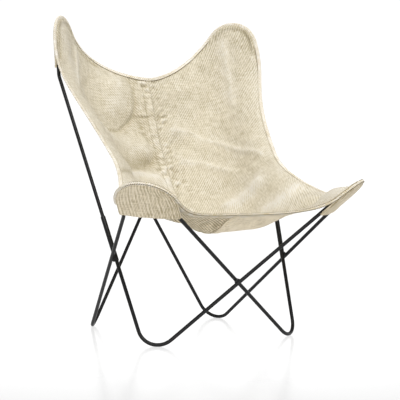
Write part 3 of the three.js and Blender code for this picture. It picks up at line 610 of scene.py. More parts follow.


# Folds and creases run along places on the cloth, given as shares across from the seam and up from
# the front edge. Each stands up from the cloth by its height, or sinks in, over its width. The last
# number of a crease is its tint: painted shade below nought and painted light above it, with some
# rubbed wear on the pale creases. A crease's height is added to the tone as well, so raised creases
# are painted paler and sunken ones darker.
FOLDS = {
    RIGHT: [
        ([(0.1, 0.8), (0.88, 0.52)], 5, 36),
        ([(0.14, 0.725), (0.85, 0.43)], -4, 24),
        ([(0.16, 0.655), (0.56, 0.53)], 3, 26),
        ([(0.4, 0.375), (0.75, 0.39)], 6, 24),
        ([(0.58, 0.28), (0.87, 0.28)], 5, 22),
        ([(0.58, 0.17), (0.85, 0.13)], 28, 66),
    ],
    LEFT: [
        ([(0.27, 0.95), (0.34, 0.84)], 13, 44),
        ([(0.16, 0.81), (0.57, 0.7)], -3, 24),
        ([(0.14, 0.7), (0.65, 0.64)], 13, 30),
        ([(0.12, 0.64), (0.65, 0.54)], -9, 24),
        ([(0.06, 0.555), (0.7, 0.47)], 8, 28),
        ([(0.24, 0.2), (0.72, 0.14)], 28, 56),
        ([(0.16, 0.26), (0.3, 0.27)], 8, 40),
    ],
}
# Crease tints are painted shade below nought and painted light above; those of no height are tint
# alone.
CREASES = {
    RIGHT: [
        ([(0.10, 0.785), (0.31, 0.738), (0.43, 0.675), (0.56, 0.63), (0.72, 0.535),
          (0.88, 0.46)], 4.5, 7.0, 3.0),
        ([(0.16, 0.642), (0.365, 0.59), (0.495, 0.537), (0.56, 0.505)], 4.0, 7.0, 3.0),
        ([(0.74, 0.385), (0.56, 0.375), (0.40, 0.37)], 5.5, 11.0, 8.0),
        ([(0.87, 0.275), (0.74, 0.272), (0.60, 0.278)], 3.5, 11.0, 7.0),
        ([(0.775, 0.945), (0.745, 0.9), (0.735, 0.865), (0.735, 0.802), (0.75, 0.72)],
         3.0, 11.0, 4.0),
        ([(0.97, 0.985), (0.955, 0.93), (0.955, 0.87)], -3.0, 4.0, -8.0),
        ([(0.015, 0.845), (0.05, 0.85), (0.09, 0.84)], -2.6, 4.0, -4.0),
        ([(0.03, 0.6), (0.07, 0.625), (0.1, 0.6), (0.07, 0.58), (0.03, 0.6)], -1.5, 3.0, -3.0),
        ([(0.74, 0.09), (0.76, 0.055), (0.8, 0.01)], 0.0, 14.0, 8.0),
        ([(0.97, 0.18), (0.91, 0.13), (0.87, 0.07)], 0.0, 16.0, 10.0),
    ],
    LEFT: [
        ([(0.17, 0.99), (0.135, 0.93), (0.145, 0.873), (0.185, 0.818), (0.235, 0.795),
          (0.335, 0.743), (0.465, 0.713), (0.57, 0.703)], -5.5, 6.0, -3.0),
        ([(0.135, 0.812), (0.125, 0.768), (0.095, 0.723)], -3.0, 5.0, -4.0),
        ([(0.075, 0.67), (0.155, 0.633), (0.325, 0.588), (0.45, 0.56)], -3.5, 9.0, -4.0),
        ([(0.04, 0.552), (0.14, 0.578), (0.3, 0.568), (0.5, 0.52)], 3.5, 9.0, 7.0),
        ([(0.685, 0.958), (0.685, 0.912), (0.71, 0.843), (0.78, 0.78)], 3.5, 8.0, 3.0),
        ([(0.69, 0.965), (0.64, 0.97), (0.55, 0.975), (0.45, 0.975)], -3.0, 5.0, -8.0),
        ([(0.97, 0.985), (0.955, 0.93), (0.95, 0.87), (0.955, 0.82)], -3.0, 4.0, -8.0),
        ([(0.015, 0.845), (0.075, 0.838), (0.17, 0.828)], -2.6, 4.0, -4.0),
        ([(0.955, 0.365), (0.86, 0.39), (0.72, 0.415)], -4.0, 5.0, -6.0),
        ([(0.5, 0.765), (0.4, 0.765), (0.3, 0.785), (0.21, 0.825)], 0.0, 9.0, -2.0),
        ([(0.22, 0.632), (0.355, 0.604), (0.5, 0.573), (0.66, 0.54)], 0.0, 9.0, -8.0),
        ([(0.93, 0.955), (0.875, 0.9), (0.865, 0.848), (0.795, 0.81)], 0.0, 13.0, 5.0),
    ],
}
FOLD_POINTS, HEM_FLAT, SEAM_FLAT_STRIP = 200, 4.0, 24.0
CREASE_POINTS, CREASE_WINDOW, CREASE_START = 160, 25, (3.0, 16.0)
TINT_SPREAD = 2.2
# Fold crests are painted paler and fold hollows darker from the seat up: painted light and shade.
FOLD_PAINTED_LIGHT, FOLD_PAINTED_LIGHT_START = 0.3, (150.0, 260.0)
UNEVEN = ((5, 90.0, 1.2), (8, 38.0, 0.6))
FREE_CLOTH = (6.0, 45.0)
PUCKER_SEED, PUCKER_LENGTH, PUCKER_SLANT = 11, 22.0, 0.8
PUCKER_HEIGHT, PUCKER_REACH, PUCKER_START = 3.0, 15.0, (4.0, 20.0)
BUNCH_SEED, BUNCH_LENGTH, BUNCH_MEAN, BUNCH_SWING = 15, 75.0, 0.9, 0.6
BUNCH_LIMITS = (0.2, 1.5)
BACK_SHARE, SEAT_PUCKERS = (0.3, 0.6), 0.2
# Pucker crests are painted paler and their hollows darker: painted light and shade.
PUCKER_PAINTED_LIGHT = 2.0
FELL_WIDTH, FELL_RISE = 20.0, 1.4
FELL_EDGE = (FELL_WIDTH - 2, FELL_WIDTH + 1)
SIDE_ACROSS, SIDE_FROM, SIDE_TO = (0.75, 0.92), (0.15, 0.3), (0.8, 0.9)
# Along the outer sides the cloth next to the hem is painted paler: painted light.
SIDE_PAINTED_LIGHT, SIDE_LIGHT_WIDTH = 4.0, 28.0
# A thin painted shadow runs just inside the hem, where the hem stands proud of the cloth.
HEM_SHADOW_TINT, HEM_SHADOW_PLACE, HEM_SHADOW_WIDTH = -7.0, 6.0, 3.0
# Underside near the front: painted shade on the left half and painted light on the right, in
# streaks.
UNDER_SHADING = {RIGHT: 6.0, LEFT: -4.5}
UNDER_SHADING_SEED, UNDER_SHADING_LENGTH, UNDER_SHADING_SLANT, UNDER_SHADING_SWING = 18, 24.0, 0.3, 2.0
UNDER_SHADING_FADE = (200.0, 400.0)


def fold_heights(hand, edges, base, room):
    """The folds of a half: each a bell round its straight line, fading out where the room to the
    hem and to the seam ends."""
    folds = 0.0
    for places, height, width in FOLDS[hand]:
        line = np.linspace(*patch(*edges, *np.transpose(places)), FOLD_POINTS)
        folds = folds + height * bell(nearest(base, line)[0], width) * smooth(room, 0, width)
    return folds


def crease_heights(hand, edges, base):
    """The creases of a half and their tints of painted shade and painted light. Round its evened
    line a crease falls off by the square of the hyperbolic cosine, and its tint as a wider bell."""
    creases, tints = 0.0, 0.0
    for places, height, width, tint in CREASES[hand]:
        places = np.array(places)
        shares = at_lengths(places, np.linspace(0, lengths(places)[-1], CREASE_POINTS))
        spine = patch(*edges, *evened(shares, CREASE_WINDOW).T)
        distance = nearest(base, spine)[0]
        creases = creases + height / np.cosh(distance / width) ** 2
        tints = tints + tint * bell(distance, TINT_SPREAD * width)
    return creases, tints


def seam_puckers(hand, along, from_seam, up_seam):
    """Puckers beside the seam: slanting waves, bunched unevenly, that swell up to a reach from the
    seam and die out past it, and are low on the seat. The left half also steps up over the fell,
    the turned edge that is sewn down beside the seam."""
    swell = from_seam / PUCKER_REACH * np.exp(1 - from_seam / PUCKER_REACH)
    bunched = BUNCH_MEAN + BUNCH_SWING * waves(BUNCH_SEED + hand, BUNCH_LENGTH, from_seam, up_seam)
    wavy = waves(PUCKER_SEED + hand, PUCKER_LENGTH, PUCKER_SLANT * from_seam, up_seam)
    puckers = PUCKER_HEIGHT * swell * np.clip(bunched, *BUNCH_LIMITS) * wavy
    puckers *= smooth(along[:, None], *BACK_SHARE) * (1 - SEAT_PUCKERS) + SEAT_PUCKERS
    if hand == LEFT:
        puckers = puckers + FELL_RISE * (1 - smooth(from_seam, *FELL_EDGE))
    return puckers


def along_profile(points, seam):
    """How far along the centre line each point lies, the line drawn on straight past both ends."""
    first, last = unit(seam[0] - seam[1]), unit(seam[-1] - seam[-2])
    reach = np.linspace(WIDE_STEP, PAST_SEAM, PAST_SEAM_POINTS)[:, None]
    profile = np.concatenate([seam[0] + reach[::-1] * first, seam, seam[-1] + reach * last])
    profile[:, 0] = 0
    side_on = points.reshape(-1, 3) * (0, 1, 1)
    square = (profile ** 2).sum(1) - 2 * side_on @ profile.T
    return lengths(profile)[square.argmin(1)].reshape(points.shape[:-1])


def cloth_half(hand):
    """One half of the sling on a grid: the patch between its edges, moved along its normals by the
    sag, the ridges over the rods, the folds, creases and puckers and a little unevenness. With it
    go the share of wing, the thread places and the tints of the upper face and of the underside,
    which are painted shade and painted light with some rubbed wear."""
    edges = sling_edges(hand)
    front_edge, top_edge, seam, side_edge = edges
    across = graded_shares(CUT_WIDTH, SEAM_STEP, FINE_STEP)
    along = graded_shares(CUT_LENGTH, FINE_STEP, FINE_STEP)
    base = patch(*edges, across[None], along[:, None])
    normals = grid_normals(base, hand)
    to_hem = nearest(base, dotted(front_edge, side_edge, top_edge))[0]
    from_seam = np.abs(base[..., 0] - CENTRE_X)
    up_front, up_seam = (np.broadcast_to(along[:, None] * length, to_hem.shape)
                         for length in (CUT_LENGTH, lengths(seam)[-1]))

    wings = (front_wing(hand), back_wing(hand))
    in_wing = sum(1 - smooth(np.linalg.norm(base - wing["centre"], axis=-1), *WING_BORDER)
                  for wing in wings)
    lift = WING_LIFT * in_wing + SAG_LIFT * smooth(to_hem, *SAG_REACH)
    for wing in wings:
        distance, way = nearest(base, wing_rod_line(wing))
        rod_height = (way * normals).sum(-1)
        sideways = np.sqrt(np.maximum(distance ** 2 - rod_height ** 2, 0))
        ridge = bell(sideways, RIDGE_WIDTH) * smooth(to_hem, *RIDGE_START)
        short = np.maximum(rod_height + ROD_CLEAR - lift, 0)
        lift = lift + short * ridge * (distance < ROD_NEAR)

    room = np.minimum(to_hem - HEM_FLAT, from_seam - SEAM_FLAT_STRIP)
    folds = fold_heights(hand, edges, base, room)
    creases, tints = crease_heights(hand, edges, base)
    puckers = seam_puckers(hand, along, from_seam, up_seam)
    place = (from_seam, base[..., 1], base[..., 2])
    uneven = sum(height * waves(seed + hand, length, *place) for seed, length, height in UNEVEN)
    lift = (lift + folds + creases * smooth(to_hem, *CREASE_START)
            + uneven * smooth(to_hem, *FREE_CLOTH) + puckers * smooth(to_hem, *PUCKER_START))
    points = own_side(base + lift[..., None] * normals, hand, HALF_GAP)

    up_side = smooth(along, *SIDE_FROM) * (1 - smooth(along, *SIDE_TO))
    at_side = smooth(across, *SIDE_ACROSS) * up_side[:, None]
    # Painted light and shade on the upper face: paler sides, a shadow line inside the hem, lit fold
    # and pucker crests.
    tints = (tints + SIDE_PAINTED_LIGHT * at_side * bell(to_hem, SIDE_LIGHT_WIDTH)
             + HEM_SHADOW_TINT * (1 - at_side) * bell(to_hem - HEM_SHADOW_PLACE, HEM_SHADOW_WIDTH)
             + FOLD_PAINTED_LIGHT * folds * smooth(up_front, *FOLD_PAINTED_LIGHT_START) + PUCKER_PAINTED_LIGHT * puckers)
    # Painted shade and light on the underside: left half darker, right half paler, fading out up
    # the back.
    under_shading = UNDER_SHADING_SWING * waves(UNDER_SHADING_SEED + hand, UNDER_SHADING_LENGTH, from_seam, UNDER_SHADING_SLANT * up_front)
    under_shading = (UNDER_SHADING[hand] + under_shading) * (1 - smooth(up_front, *UNDER_SHADING_FADE))
    threads = np.stack([row_lengths(base), along_profile(base, seam), np.zeros_like(lift)], -1)
    return dict(points=points, normals=normals, base=base, in_wing=in_wing, threads=threads,
                crease=creases + tints, under_shading=under_shading)


def carry(piece, name, values):
    """Values that go with the points of a piece, one number or one place for each."""
    kind, field = ("FLOAT_VECTOR", "vector") if values.ndim == 3 else ("FLOAT", "value")
    carried = piece.data.attributes.new(name, kind, "POINT")
    carried.data.foreach_set(field, values.astype(np.float32).ravel())


def sheet_piece(name, points, hand, thickness, material, slot, node, threads, crease, under=None):
    """A sheet of cloth: a grid of points, made as thick as the cloth to both sides. The thread
    place and the crease value, which is painted light and shade with some wear, go with every point
    for the weave and the colour. Its underside has a material of its own where one is given."""
    rows, columns = points.shape[:2]
    faces = grid_faces(rows, columns)
    if hand == LEFT:
        faces = faces[:, ::-1]
    piece = new_piece(name, points.reshape(-1, 3), faces, material, slot, [node])
    carry(piece, "threads", threads * MM)
    carry(piece, "crease", crease)
    solid = piece.modifiers.new("cloth", "SOLIDIFY")
    solid.thickness = thickness * MM
    solid.offset = 0
    if under:
        piece.data.materials.append(under)
        solid.material_offset = 1
    return piece


CANVAS_ROUGHNESS, CANVAS_SHEEN, CANVAS_GLOSS = 0.9, 0.12, 0.25
WEAVE_PITCH, WEAVE_BUMP, RIB_BUMP = 2.1, 0.35, 0.5
CANVAS_BUMP, CANVAS_DEPTH = 0.55, 0.0007
RIB_PATCHES, RIB_SHARES = (0.38, 0.62), (0.5, 1)
SLUB_ACROSS, SLUB_ALONG = (1, 0.12, 1), (0.12, 1, 1)
SLUB_TONE, RIB_TONE, MOTTLE_TONE = 0.9, 0.3, (0.42, 0.58)
LIGHT_AND_WEAR_RANGE, LIGHT_AND_WEAR_TONE = (-9, 12), (-0.3, 0.4)
DEEP_AT, PALE_AT, LIGHTEST_AT = 0.15, 0.68, 1.0
LIGHTEST_SHARE = 0.84


def canvas_material(name, pale, deep, rib, rib_turn, tone_shift="crease", lightest=None, shine=1.0):
    """Heavy canvas: a plain weave of uneven threads with a coarser rib over it, the rib's pitch and
    turn given, mottled from a deep to a pale colour. The values carried under the named attribute
    are painted light and painted shade, with some rubbed wear: they make it paler, up to the
    lightest colour, or deeper. Shine scales its sheen and gloss."""
    material, shader, place = new_material(name, CANVAS_ROUGHNESS)
    links = material.node_tree.links
    shader.inputs["Sheen Weight"].default_value = CANVAS_SHEEN * shine
    shader.inputs["Specular IOR Level"].default_value = CANVAS_GLOSS * shine
    threads, crease = node_chain(material, "Attribute", "Attribute")
    threads.attribute_name, crease.attribute_name = "threads", tone_shift
    laid = threads.outputs["Vector"]

    def math_node(operation, first, second=0):
        """One sum of two values, each a number or another node's output."""
        node, = node_chain(material, "Math")
        node.operation = operation
        for socket, value in zip(node.inputs, (first, second)):
            if isinstance(value, (int, float)):
                socket.default_value = value
            else:
                links.new(value, socket)
        return node.outputs[0]

    def wave(period, turn):
        """A sine wave across the threads, turned in the cloth's plane."""
        mapping, split = node_chain(material, "Mapping", "SeparateXYZ")
        mapping.inputs["Rotation"].default_value = (0, 0, turn)
        links.new(laid, mapping.inputs["Vector"])
        links.new(mapping.outputs["Vector"], split.inputs[0])
        turns = math_node("MULTIPLY", split.outputs[0], 2 * math.pi / (period * MM))
        return math_node("SINE", turns)

    def added(first, second, share=1):
        """The first value and a share of the second."""
        return math_node("ADD", first, math_node("MULTIPLY", second, share))

    weave = math_node("MULTIPLY", wave(WEAVE_PITCH, 0), wave(WEAVE_PITCH, math.pi / 2))
    patchy = in_range(material, noise(material, place, scale=16), *RIB_PATCHES, *RIB_SHARES)
    ribs = math_node("MULTIPLY", wave(rib, rib_turn), patchy)
    slub = added(*(noise(material, laid, scale=260, roughness=0.6, stretch=stretch)
                   for stretch in (SLUB_ACROSS, SLUB_ALONG)))
    height = added(added(slub, weave, WEAVE_BUMP), ribs, RIB_BUMP)
    bumped(material, shader, height, CANVAS_BUMP, CANVAS_DEPTH)

    clouds = noise(material, place, scale=22, detail=5, roughness=0.7)
    mottle = in_range(material, clouds, NOISE_LOW, NOISE_HIGH, *MOTTLE_TONE)
    # The carried values, painted light and shade with some wear, move the tone paler or deeper.
    light_and_wear = in_range(material, crease.outputs["Fac"], *LIGHT_AND_WEAR_RANGE, *LIGHT_AND_WEAR_TONE)
    tone = added(added(mottle, light_and_wear), ribs, RIB_TONE)
    tone = added(tone, math_node("SUBTRACT", slub, 1.0), SLUB_TONE)
    lightest = lightest or tuple(1 - LIGHTEST_SHARE * (1 - channel) for channel in pale)
    colour = colours(material, tone, (DEEP_AT, deep), (PALE_AT, pale), (LIGHTEST_AT, lightest))
    links.new(colour, shader.inputs["Base Color"])
    return material


# The seat canvas's lightest colour, a little greyer, is the painted highlight of lit fold crests.
canvas = canvas_material(
    "canvas", pale=(0.66, 0.60, 0.472), deep=(0.40, 0.345, 0.23), lightest=(0.715, 0.68, 0.605),
    rib=6.4, rib_turn=math.radians(40))
# The underside's pale colour is set well above the top face's: painted light making up for the
# little light under the seat.
underside = canvas_material(
    "underside", pale=(0.86, 0.745, 0.54), deep=(0.275, 0.22, 0.115), tone_shift="under_shading",
    rib=7.2, rib_turn=math.radians(-45))
halves = {}
for hand in (RIGHT, LEFT):
    half = cloth_half(hand)
    name = HAND_NAMES[hand]
    half["piece"] = sheet_piece(
        f"{name}_canvas_half", half["points"], hand, CLOTH, canvas, "canvas",
        f"{name}_sling_half", half["threads"], half["crease"], underside)
    carry(half["piece"], "under_shading", half["under_shading"])
    halves[hand] = half

# Edge hems. The outer edge of each half is turned over twice, wider under the front, and sewn down.
# That makes a paler band about 10 mm wide, round at the rim. A row of stitches on each face holds
# it, in a dark thread that is painted pale along the sides as painted light.
HEM_OUT, HEM_IN, HEM_UNDER = 5.3, 4.6, 17.0
HEM_LAYER, HEM_GIRTH = 0.9, 30.0
SLOT_FREE, SLOT_WING, SLOT_END = 1.25, 2.5, 0.9
HEM_STEP, HEM_WINDOW, SAME_PLACE = 1.5, 21, 1e-6
HEM_END_GAP = 0.6
HEM_LIP = 0.15
HEM_CURVE = ((-HEM_IN + 0.3, -0.35, 0), (-3.7, -0.3, 0), (-2.4, 0.0, 1), (0.0, 0.3, 1))
NOSE_ROUND, NOSE_RISE, NOSE_POINTS = 3.0, 0.25, 9
DIMPLE_HEIGHT = 0.22
HEM_SEED, HEM_WAVES, HEM_WAVE_HEIGHT = 21, 30.0, 0.25
FRONT_RUN, FRONT_TINT = (290.0, 370.0), -4.0
STITCH_LENGTH, STITCH_PITCH, STITCH_RADIUS = 5.0, 5.4, 0.85
STITCH_SIDES, STITCH_RINGS = 8, 6
STITCH_LID = np.array([[0, 1, 2, 3], [0, 3, 4, 7], [4, 5, 6, 7]])
STITCH_BLUNT, STITCH_FLAT, STITCH_BOW = 0.03, 0.8, 0.5
STITCH_MARGIN, STITCH_LEVEL = 6.0, 0.35
STITCH_INSET, FRONT_INSET = 5.6, -3.4
NOSE_RUN, NOSE_LEVEL = (400.0, 470.0), HEM_LAYER - 0.1
SIDE_START, SIDE_END = (480.0, 600.0), (1100.0, 1200.0)
DARK_THREAD, SIDE_LIT_THREAD = -6.0, 14.0


def hem_run(hand, half):
    """The rim of a half from the seam at the front round to the seam at the top: places, outward
    and upward directions, the share of wing and the length so far, evenly spaced."""
    def rim_of(grid):
        """The front row, the outer column and the top row of a grid, end to end."""
        return np.concatenate([grid[0, :-1], grid[:-1, -1], grid[-1, ::-1]])

    line, wing_share = rim_of(half["base"]), rim_of(half["in_wing"])[:, None]
    normal = rim_of(half["normals"])
    places = np.linspace(0, lengths(line)[-1], int(lengths(line)[-1] / HEM_STEP))
    keep = np.concatenate([[True], np.diff(lengths(line)) > SAME_PLACE])
    line, normal, wing_share = line[keep], normal[keep], wing_share[keep]
    points, up, share = (at_lengths(line, places, v) for v in (line, normal, wing_share))
    up = evened(up, HEM_WINDOW)
    tangent = unit(np.gradient(points, axis=0))
    up = unit(up - (up * tangent).sum(1, keepdims=True) * tangent)
    out = np.cross(tangent, up) * hand
    return points, out, up, share[:, 0], places


def hem_profile(slot, pucker, under):
    """Outline of the hem across its run: two layers with a slot between them for the cloth, joined
    by a round nose, the lower layer drawn out to its own width. Out and up for each station."""
    top = slot + HEM_LAYER
    one = np.ones_like(slot)
    upper = [(-HEM_IN * one, slot + HEM_LIP)]
    upper += [(out * one, top + over + dimpled * pucker) for out, over, dimpled in HEM_CURVE]
    nose = [(HEM_OUT - NOSE_ROUND + NOSE_ROUND * math.cos(a) * one, (top + NOSE_RISE) * math.sin(a))
            for a in np.linspace(math.pi / 2, -math.pi / 2, NOSE_POINTS)]
    lower = [(x * under / HEM_IN, -z) for x, z in upper[::-1]]
    slit = [(-under, -slot), (SLOT_END * one, -slot), (SLOT_END * one, slot), (-HEM_IN * one, slot)]
    return np.stack([np.stack(pair, -1) for pair in upper + nose + lower + slit], 1)


def stitch_row(points, along, out, up):
    """A row of stitches: at each place a short round thread along the run, thinner and bent down
    towards its blunt closed ends."""
    angle = np.linspace(0, 2 * math.pi, STITCH_SIDES, endpoint=False)
    share = np.linspace(-1, 1, STITCH_RINGS)[:, None]
    radius = STITCH_RADIUS * np.sqrt(np.maximum(1 - np.abs(share) ** 3, STITCH_BLUNT))
    bow = STITCH_BOW * share ** 2 * STITCH_RADIUS
    local = np.stack(np.broadcast_arrays(
        share * STITCH_LENGTH / 2, radius * np.cos(angle),
        radius * np.sin(angle) * STITCH_FLAT - bow), -1)
    axes = np.stack([along, out, up], 1)
    placed = points[:, None, None] + np.einsum("rsk,nkd->nrsd", local, axes)
    each = STITCH_RINGS * STITCH_SIDES
    faces = np.concatenate([grid_faces(STITCH_RINGS, STITCH_SIDES, round_columns=True),
                            STITCH_LID[:, ::-1], STITCH_LID + each - STITCH_SIDES])
    offsets = np.arange(0, len(points) * each, each)[:, None, None]
    return placed.reshape(-1, 3), (faces[None] + offsets).reshape(-1, 4)


def stacked(rows):
    """Rows of stitches as one mesh: the points of all rows, and faces turned outwards."""
    counts = np.cumsum([0] + [len(points) for points, faces in rows])
    faces = [facing_out(points - points[0], faces) + count
             for (points, faces), count in zip(rows, counts)]
    return np.concatenate([points for points, faces in rows]), np.concatenate(faces)


hem_canvas = canvas_material(
    "hem_canvas", pale=(0.80, 0.762, 0.69), deep=(0.545, 0.455, 0.275),
    rib=4.6, rib_turn=math.radians(40), shine=0.4)
thread = canvas_material(
    "sewing_thread", pale=(0.14, 0.085, 0.02), deep=(0.06, 0.036, 0.008),
    lightest=(0.72, 0.65, 0.50), rib=1.6, rib_turn=math.radians(30), shine=0.0)
for hand in (RIGHT, LEFT):
    half = halves[hand]
    name = HAND_NAMES[hand]
    points, out, up, share, places = hem_run(hand, half)
    slot = SLOT_FREE + (SLOT_WING - SLOT_FREE) * np.clip(share, 0, 1)
    pucker = (DIMPLE_HEIGHT * np.cos(2 * math.pi * places / STITCH_PITCH)
              + HEM_WAVE_HEIGHT * waves(HEM_SEED + hand, HEM_WAVES, places))
    at_front = 1 - smooth(places, *FRONT_RUN)
    profile = hem_profile(slot, pucker, HEM_IN + (HEM_UNDER - HEM_IN) * at_front)
    band = points[:, None] + profile[..., :1] * out[:, None] + profile[..., 1:] * up[:, None]
    rows, columns = band.shape[:2]
    band = own_side(band, hand, HEM_END_GAP).reshape(-1, 3)
    faces = facing_out(band, grid_faces(rows, columns, round_columns=True))
    hem = new_piece(f"{name}_hem_band", band, faces, hem_canvas, "hem_canvas",
                    [f"{name}_edge_hem"], end_caps(faces, rows, columns))
    along, around = np.meshgrid(places, np.linspace(0, HEM_GIRTH, columns), indexing="ij")
    carry(hem, "threads", np.stack([along, around, 0 * around], -1) * MM)
    carry(hem, "crease", np.broadcast_to(FRONT_TINT * at_front[:, None], (rows, columns)))
    half["hem"] = hem

    stitch_places = np.arange(STITCH_MARGIN, places[-1] - STITCH_MARGIN, STITCH_PITCH)
    line, outs, ups = (at_lengths(points, stitch_places, v) for v in (points, out, up))
    runs = np.cross(ups, outs)
    on_nose = 1 - smooth(stitch_places, *NOSE_RUN)[:, None]
    inset = STITCH_INSET + (FRONT_INSET - STITCH_INSET) * on_nose
    level = np.interp(stitch_places, places, slot + STITCH_LEVEL)[:, None] + NOSE_LEVEL * on_nose
    rows = [stitch_row(line - inset * outs + face * level * ups, runs, outs, face * ups)
            for face in (1, -1)]
    stitches = new_piece(f"{name}_hem_stitches", *stacked(rows), thread, "hem_canvas")
    # Painted light: the thread is painted pale along the sides.
    at_side = smooth(stitch_places, *SIDE_START) * (1 - smooth(stitch_places, *SIDE_END))
    tone_shift = DARK_THREAD + (SIDE_LIT_THREAD - DARK_THREAD) * at_side
    carry(stitches, "crease", np.tile(np.repeat(tone_shift, STITCH_RINGS * STITCH_SIDES), len(rows)))
    half["stitches"] = stitches

# Wing pockets. A patch of the same canvas closes the outer side of each wing, sewn into the hem
# round its rim, with a straight hemmed mouth that the rod's two legs come out of.
POCKET_RADIUS = EDGE_RADIUS - 1.0
POCKET_DEPTHS = {"front": 112.0, "back": 131.0}
POCKET_TOP = math.radians(48)
FLANK_POINTS, ROUND_POINTS, TOP_POINTS = 60, 80, 100
RIM_DROP, ROD_DROP, ROD_DROP_REACH = 1.3, 5.3, (0.0, 4.5)
BULGE, BULGE_REACH = 3.0, (6.0, 60.0)
MOUTH_HEM, MOUTH_THICK = 9.0, 0.9
MOUTH_EDGE = (MOUTH_HEM - 1.2, MOUTH_HEM + 0.2)
RIB_PITCH, RIB_HEIGHT, RIB_STEP, RIB_REACH = 9.5, 0.8, 1.5, (3.0, 14.0)
RIB_SEED, RIB_BEND, RIB_BEND_LENGTH = 31, 0.9, 40.0
RIB_MEAN, RIB_SWING, RIB_SWING_LENGTH = 0.65, 0.25, 30.0
RIB_PAINTED_LIGHT, INNER_SHADE, INNER_SHADE_REACH = 8.0, -6.0, 28.0


def leg_angle(wing, shoulder):
    """The angle off the tip at which a leg runs straight on from the round top."""
    local = shoulder - wing["centre"]
    angle = math.atan2(abs(local @ wing["sideways"]), local @ wing["rising"])
    return angle - math.acos(WING_TIP_RADIUS / np.linalg.norm(local))


def pocket_flank(wing, shoulder, sign, depth):
    """A flank of the pocket: straight along the leg from the mouth, then round towards the tip."""
    angle = leg_angle(wing, shoulder)
    leave = on_wing(wing, sign * angle, POCKET_RADIUS)
    run = (POCKET_RADIUS * math.cos(angle) + depth - WING_TIP_RADIUS) / math.sin(angle)
    mouth_end = leave + sign * run * wing_tangent(wing, sign * angle)
    rounding = np.linspace(sign * angle, sign * POCKET_TOP, ROUND_POINTS)
    return joined(np.linspace(mouth_end, leave, FLANK_POINTS),
                  on_wing(wing, rounding, POCKET_RADIUS))


def pocket_cloth(wing, depth, seed):
    """The pocket's patch on a grid, bulged outwards over the rod, with a thicker band at the mouth
    and soft wandering ribs that run from the mouth to the rim. With it go the thread places and
    the tint: rib crests painted paler and the hollows between them darker, and painted shade
    towards the inner flank."""
    inner = pocket_flank(wing, wing["inner"], -1, depth)
    outer = pocket_flank(wing, wing["outer"], 1, depth)
    mouth = np.linspace(inner[0], outer[0], FLANK_POINTS)
    top = on_wing(wing, np.linspace(-POCKET_TOP, POCKET_TOP, TOP_POINTS), POCKET_RADIUS)
    across = np.linspace(0, 1, int(lengths(mouth)[-1] / RIB_STEP))
    along = graded_shares(depth, FINE_STEP, FINE_STEP)
    base = patch(mouth, top, inner, outer, across[None], along[:, None])
    to_rim = nearest(base, dotted(inner, outer, top))[0]
    a, b = np.meshgrid(across * lengths(mouth)[-1], along * depth)
    bend = RIB_BEND * waves(seed, RIB_BEND_LENGTH, a, b)
    ribs = np.sin(2 * math.pi * a / RIB_PITCH + bend)
    ribs *= RIB_MEAN + RIB_SWING * waves(seed + 3, RIB_SWING_LENGTH, a, b)
    drop = (RIM_DROP + ROD_DROP * smooth(to_rim, *ROD_DROP_REACH)
            + BULGE * smooth(to_rim, *BULGE_REACH) + RIB_HEIGHT * ribs * smooth(to_rim, *RIB_REACH)
            + MOUTH_THICK * (1 - smooth(b, *MOUTH_EDGE)))
    points = base - drop[..., None] * wing["inwards"]
    # Painted light on the rib crests, painted shade between them and towards the inner flank.
    crease = RIB_PAINTED_LIGHT * ribs + INNER_SHADE * np.exp(-a / INNER_SHADE_REACH)
    return points, np.stack([a, b, 0 * a], -1), crease


# The pocket canvas has a paler pale colour than the seat's canvas: painted light making up for the
# shade on its outer side.
pocket_canvas = canvas_material(
    "pocket_canvas", pale=(0.83, 0.73, 0.55), deep=(0.39, 0.32, 0.19), rib=4.0, rib_turn=0.0)
for hand in (RIGHT, LEFT):
    for place, wing in (("front", front_wing(hand)), ("back", back_wing(hand))):
        name = f"{HAND_NAMES[hand]}_{place}"
        points, laid, crease = pocket_cloth(wing, POCKET_DEPTHS[place], RIB_SEED + hand)
        outwards = np.cross(wing["sideways"], wing["rising"]) @ wing["inwards"]
        halves[hand][place + "_pocket"] = sheet_piece(
            f"{name}_patch", points, LEFT if outwards > 0 else RIGHT, CLOTH, pocket_canvas,
            "canvas", f"{name}_pocket", laid, crease)

# Centre seam tape. A woven tape on the underside covers the raw edges of the centre seam. It is
# sewn down with the seam, whose stitches show in two rows beside it on the seat.
TAPE_WIDTH, TAPE_THICK = 22.0, 1.5
TAPE_DROP, TAPE_END = 1.95, 8.0
TAPE_MIDDLE, TAPE_COLUMNS = 0.8, 7
SEAM_MARGIN = 12.0
SEAM_ROWS = ((2.5, 1.35), (FELL_WIDTH, 1.35), (9.5, -3.1))


def seam_strip():
    """A strip under the seam: at each row of both halves, places at set reaches from the seam, set
    down from the cloth's middle along its normals. With it go the thread places."""
    columns, laid = [], []
    for hand in (LEFT, RIGHT):
        half = halves[hand]
        reach = row_lengths(half["points"])
        lowered = half["points"] - TAPE_DROP * half["normals"]
        rows = np.arange(len(reach))
        for out in np.linspace(TAPE_WIDTH / 2, TAPE_MIDDLE, TAPE_COLUMNS)[::-hand]:
            after = (reach < out).sum(1)
            low, high = reach[rows, after - 1], reach[rows, after]
            share = ((out - low) / (high - low))[:, None]
            columns.append((1 - share) * lowered[rows, after - 1] + share * lowered[rows, after])
            laid.append(np.stack([0 * rows + hand * out, half["threads"][:, 0, 1], 0 * rows], -1))
    strip, threads = np.stack(columns, 1), np.stack(laid, 1)
    run = lengths(strip[:, len(columns) // 2])
    keep = (run > TAPE_END) & (run < run[-1] - TAPE_END)
    return strip[keep], threads[keep]


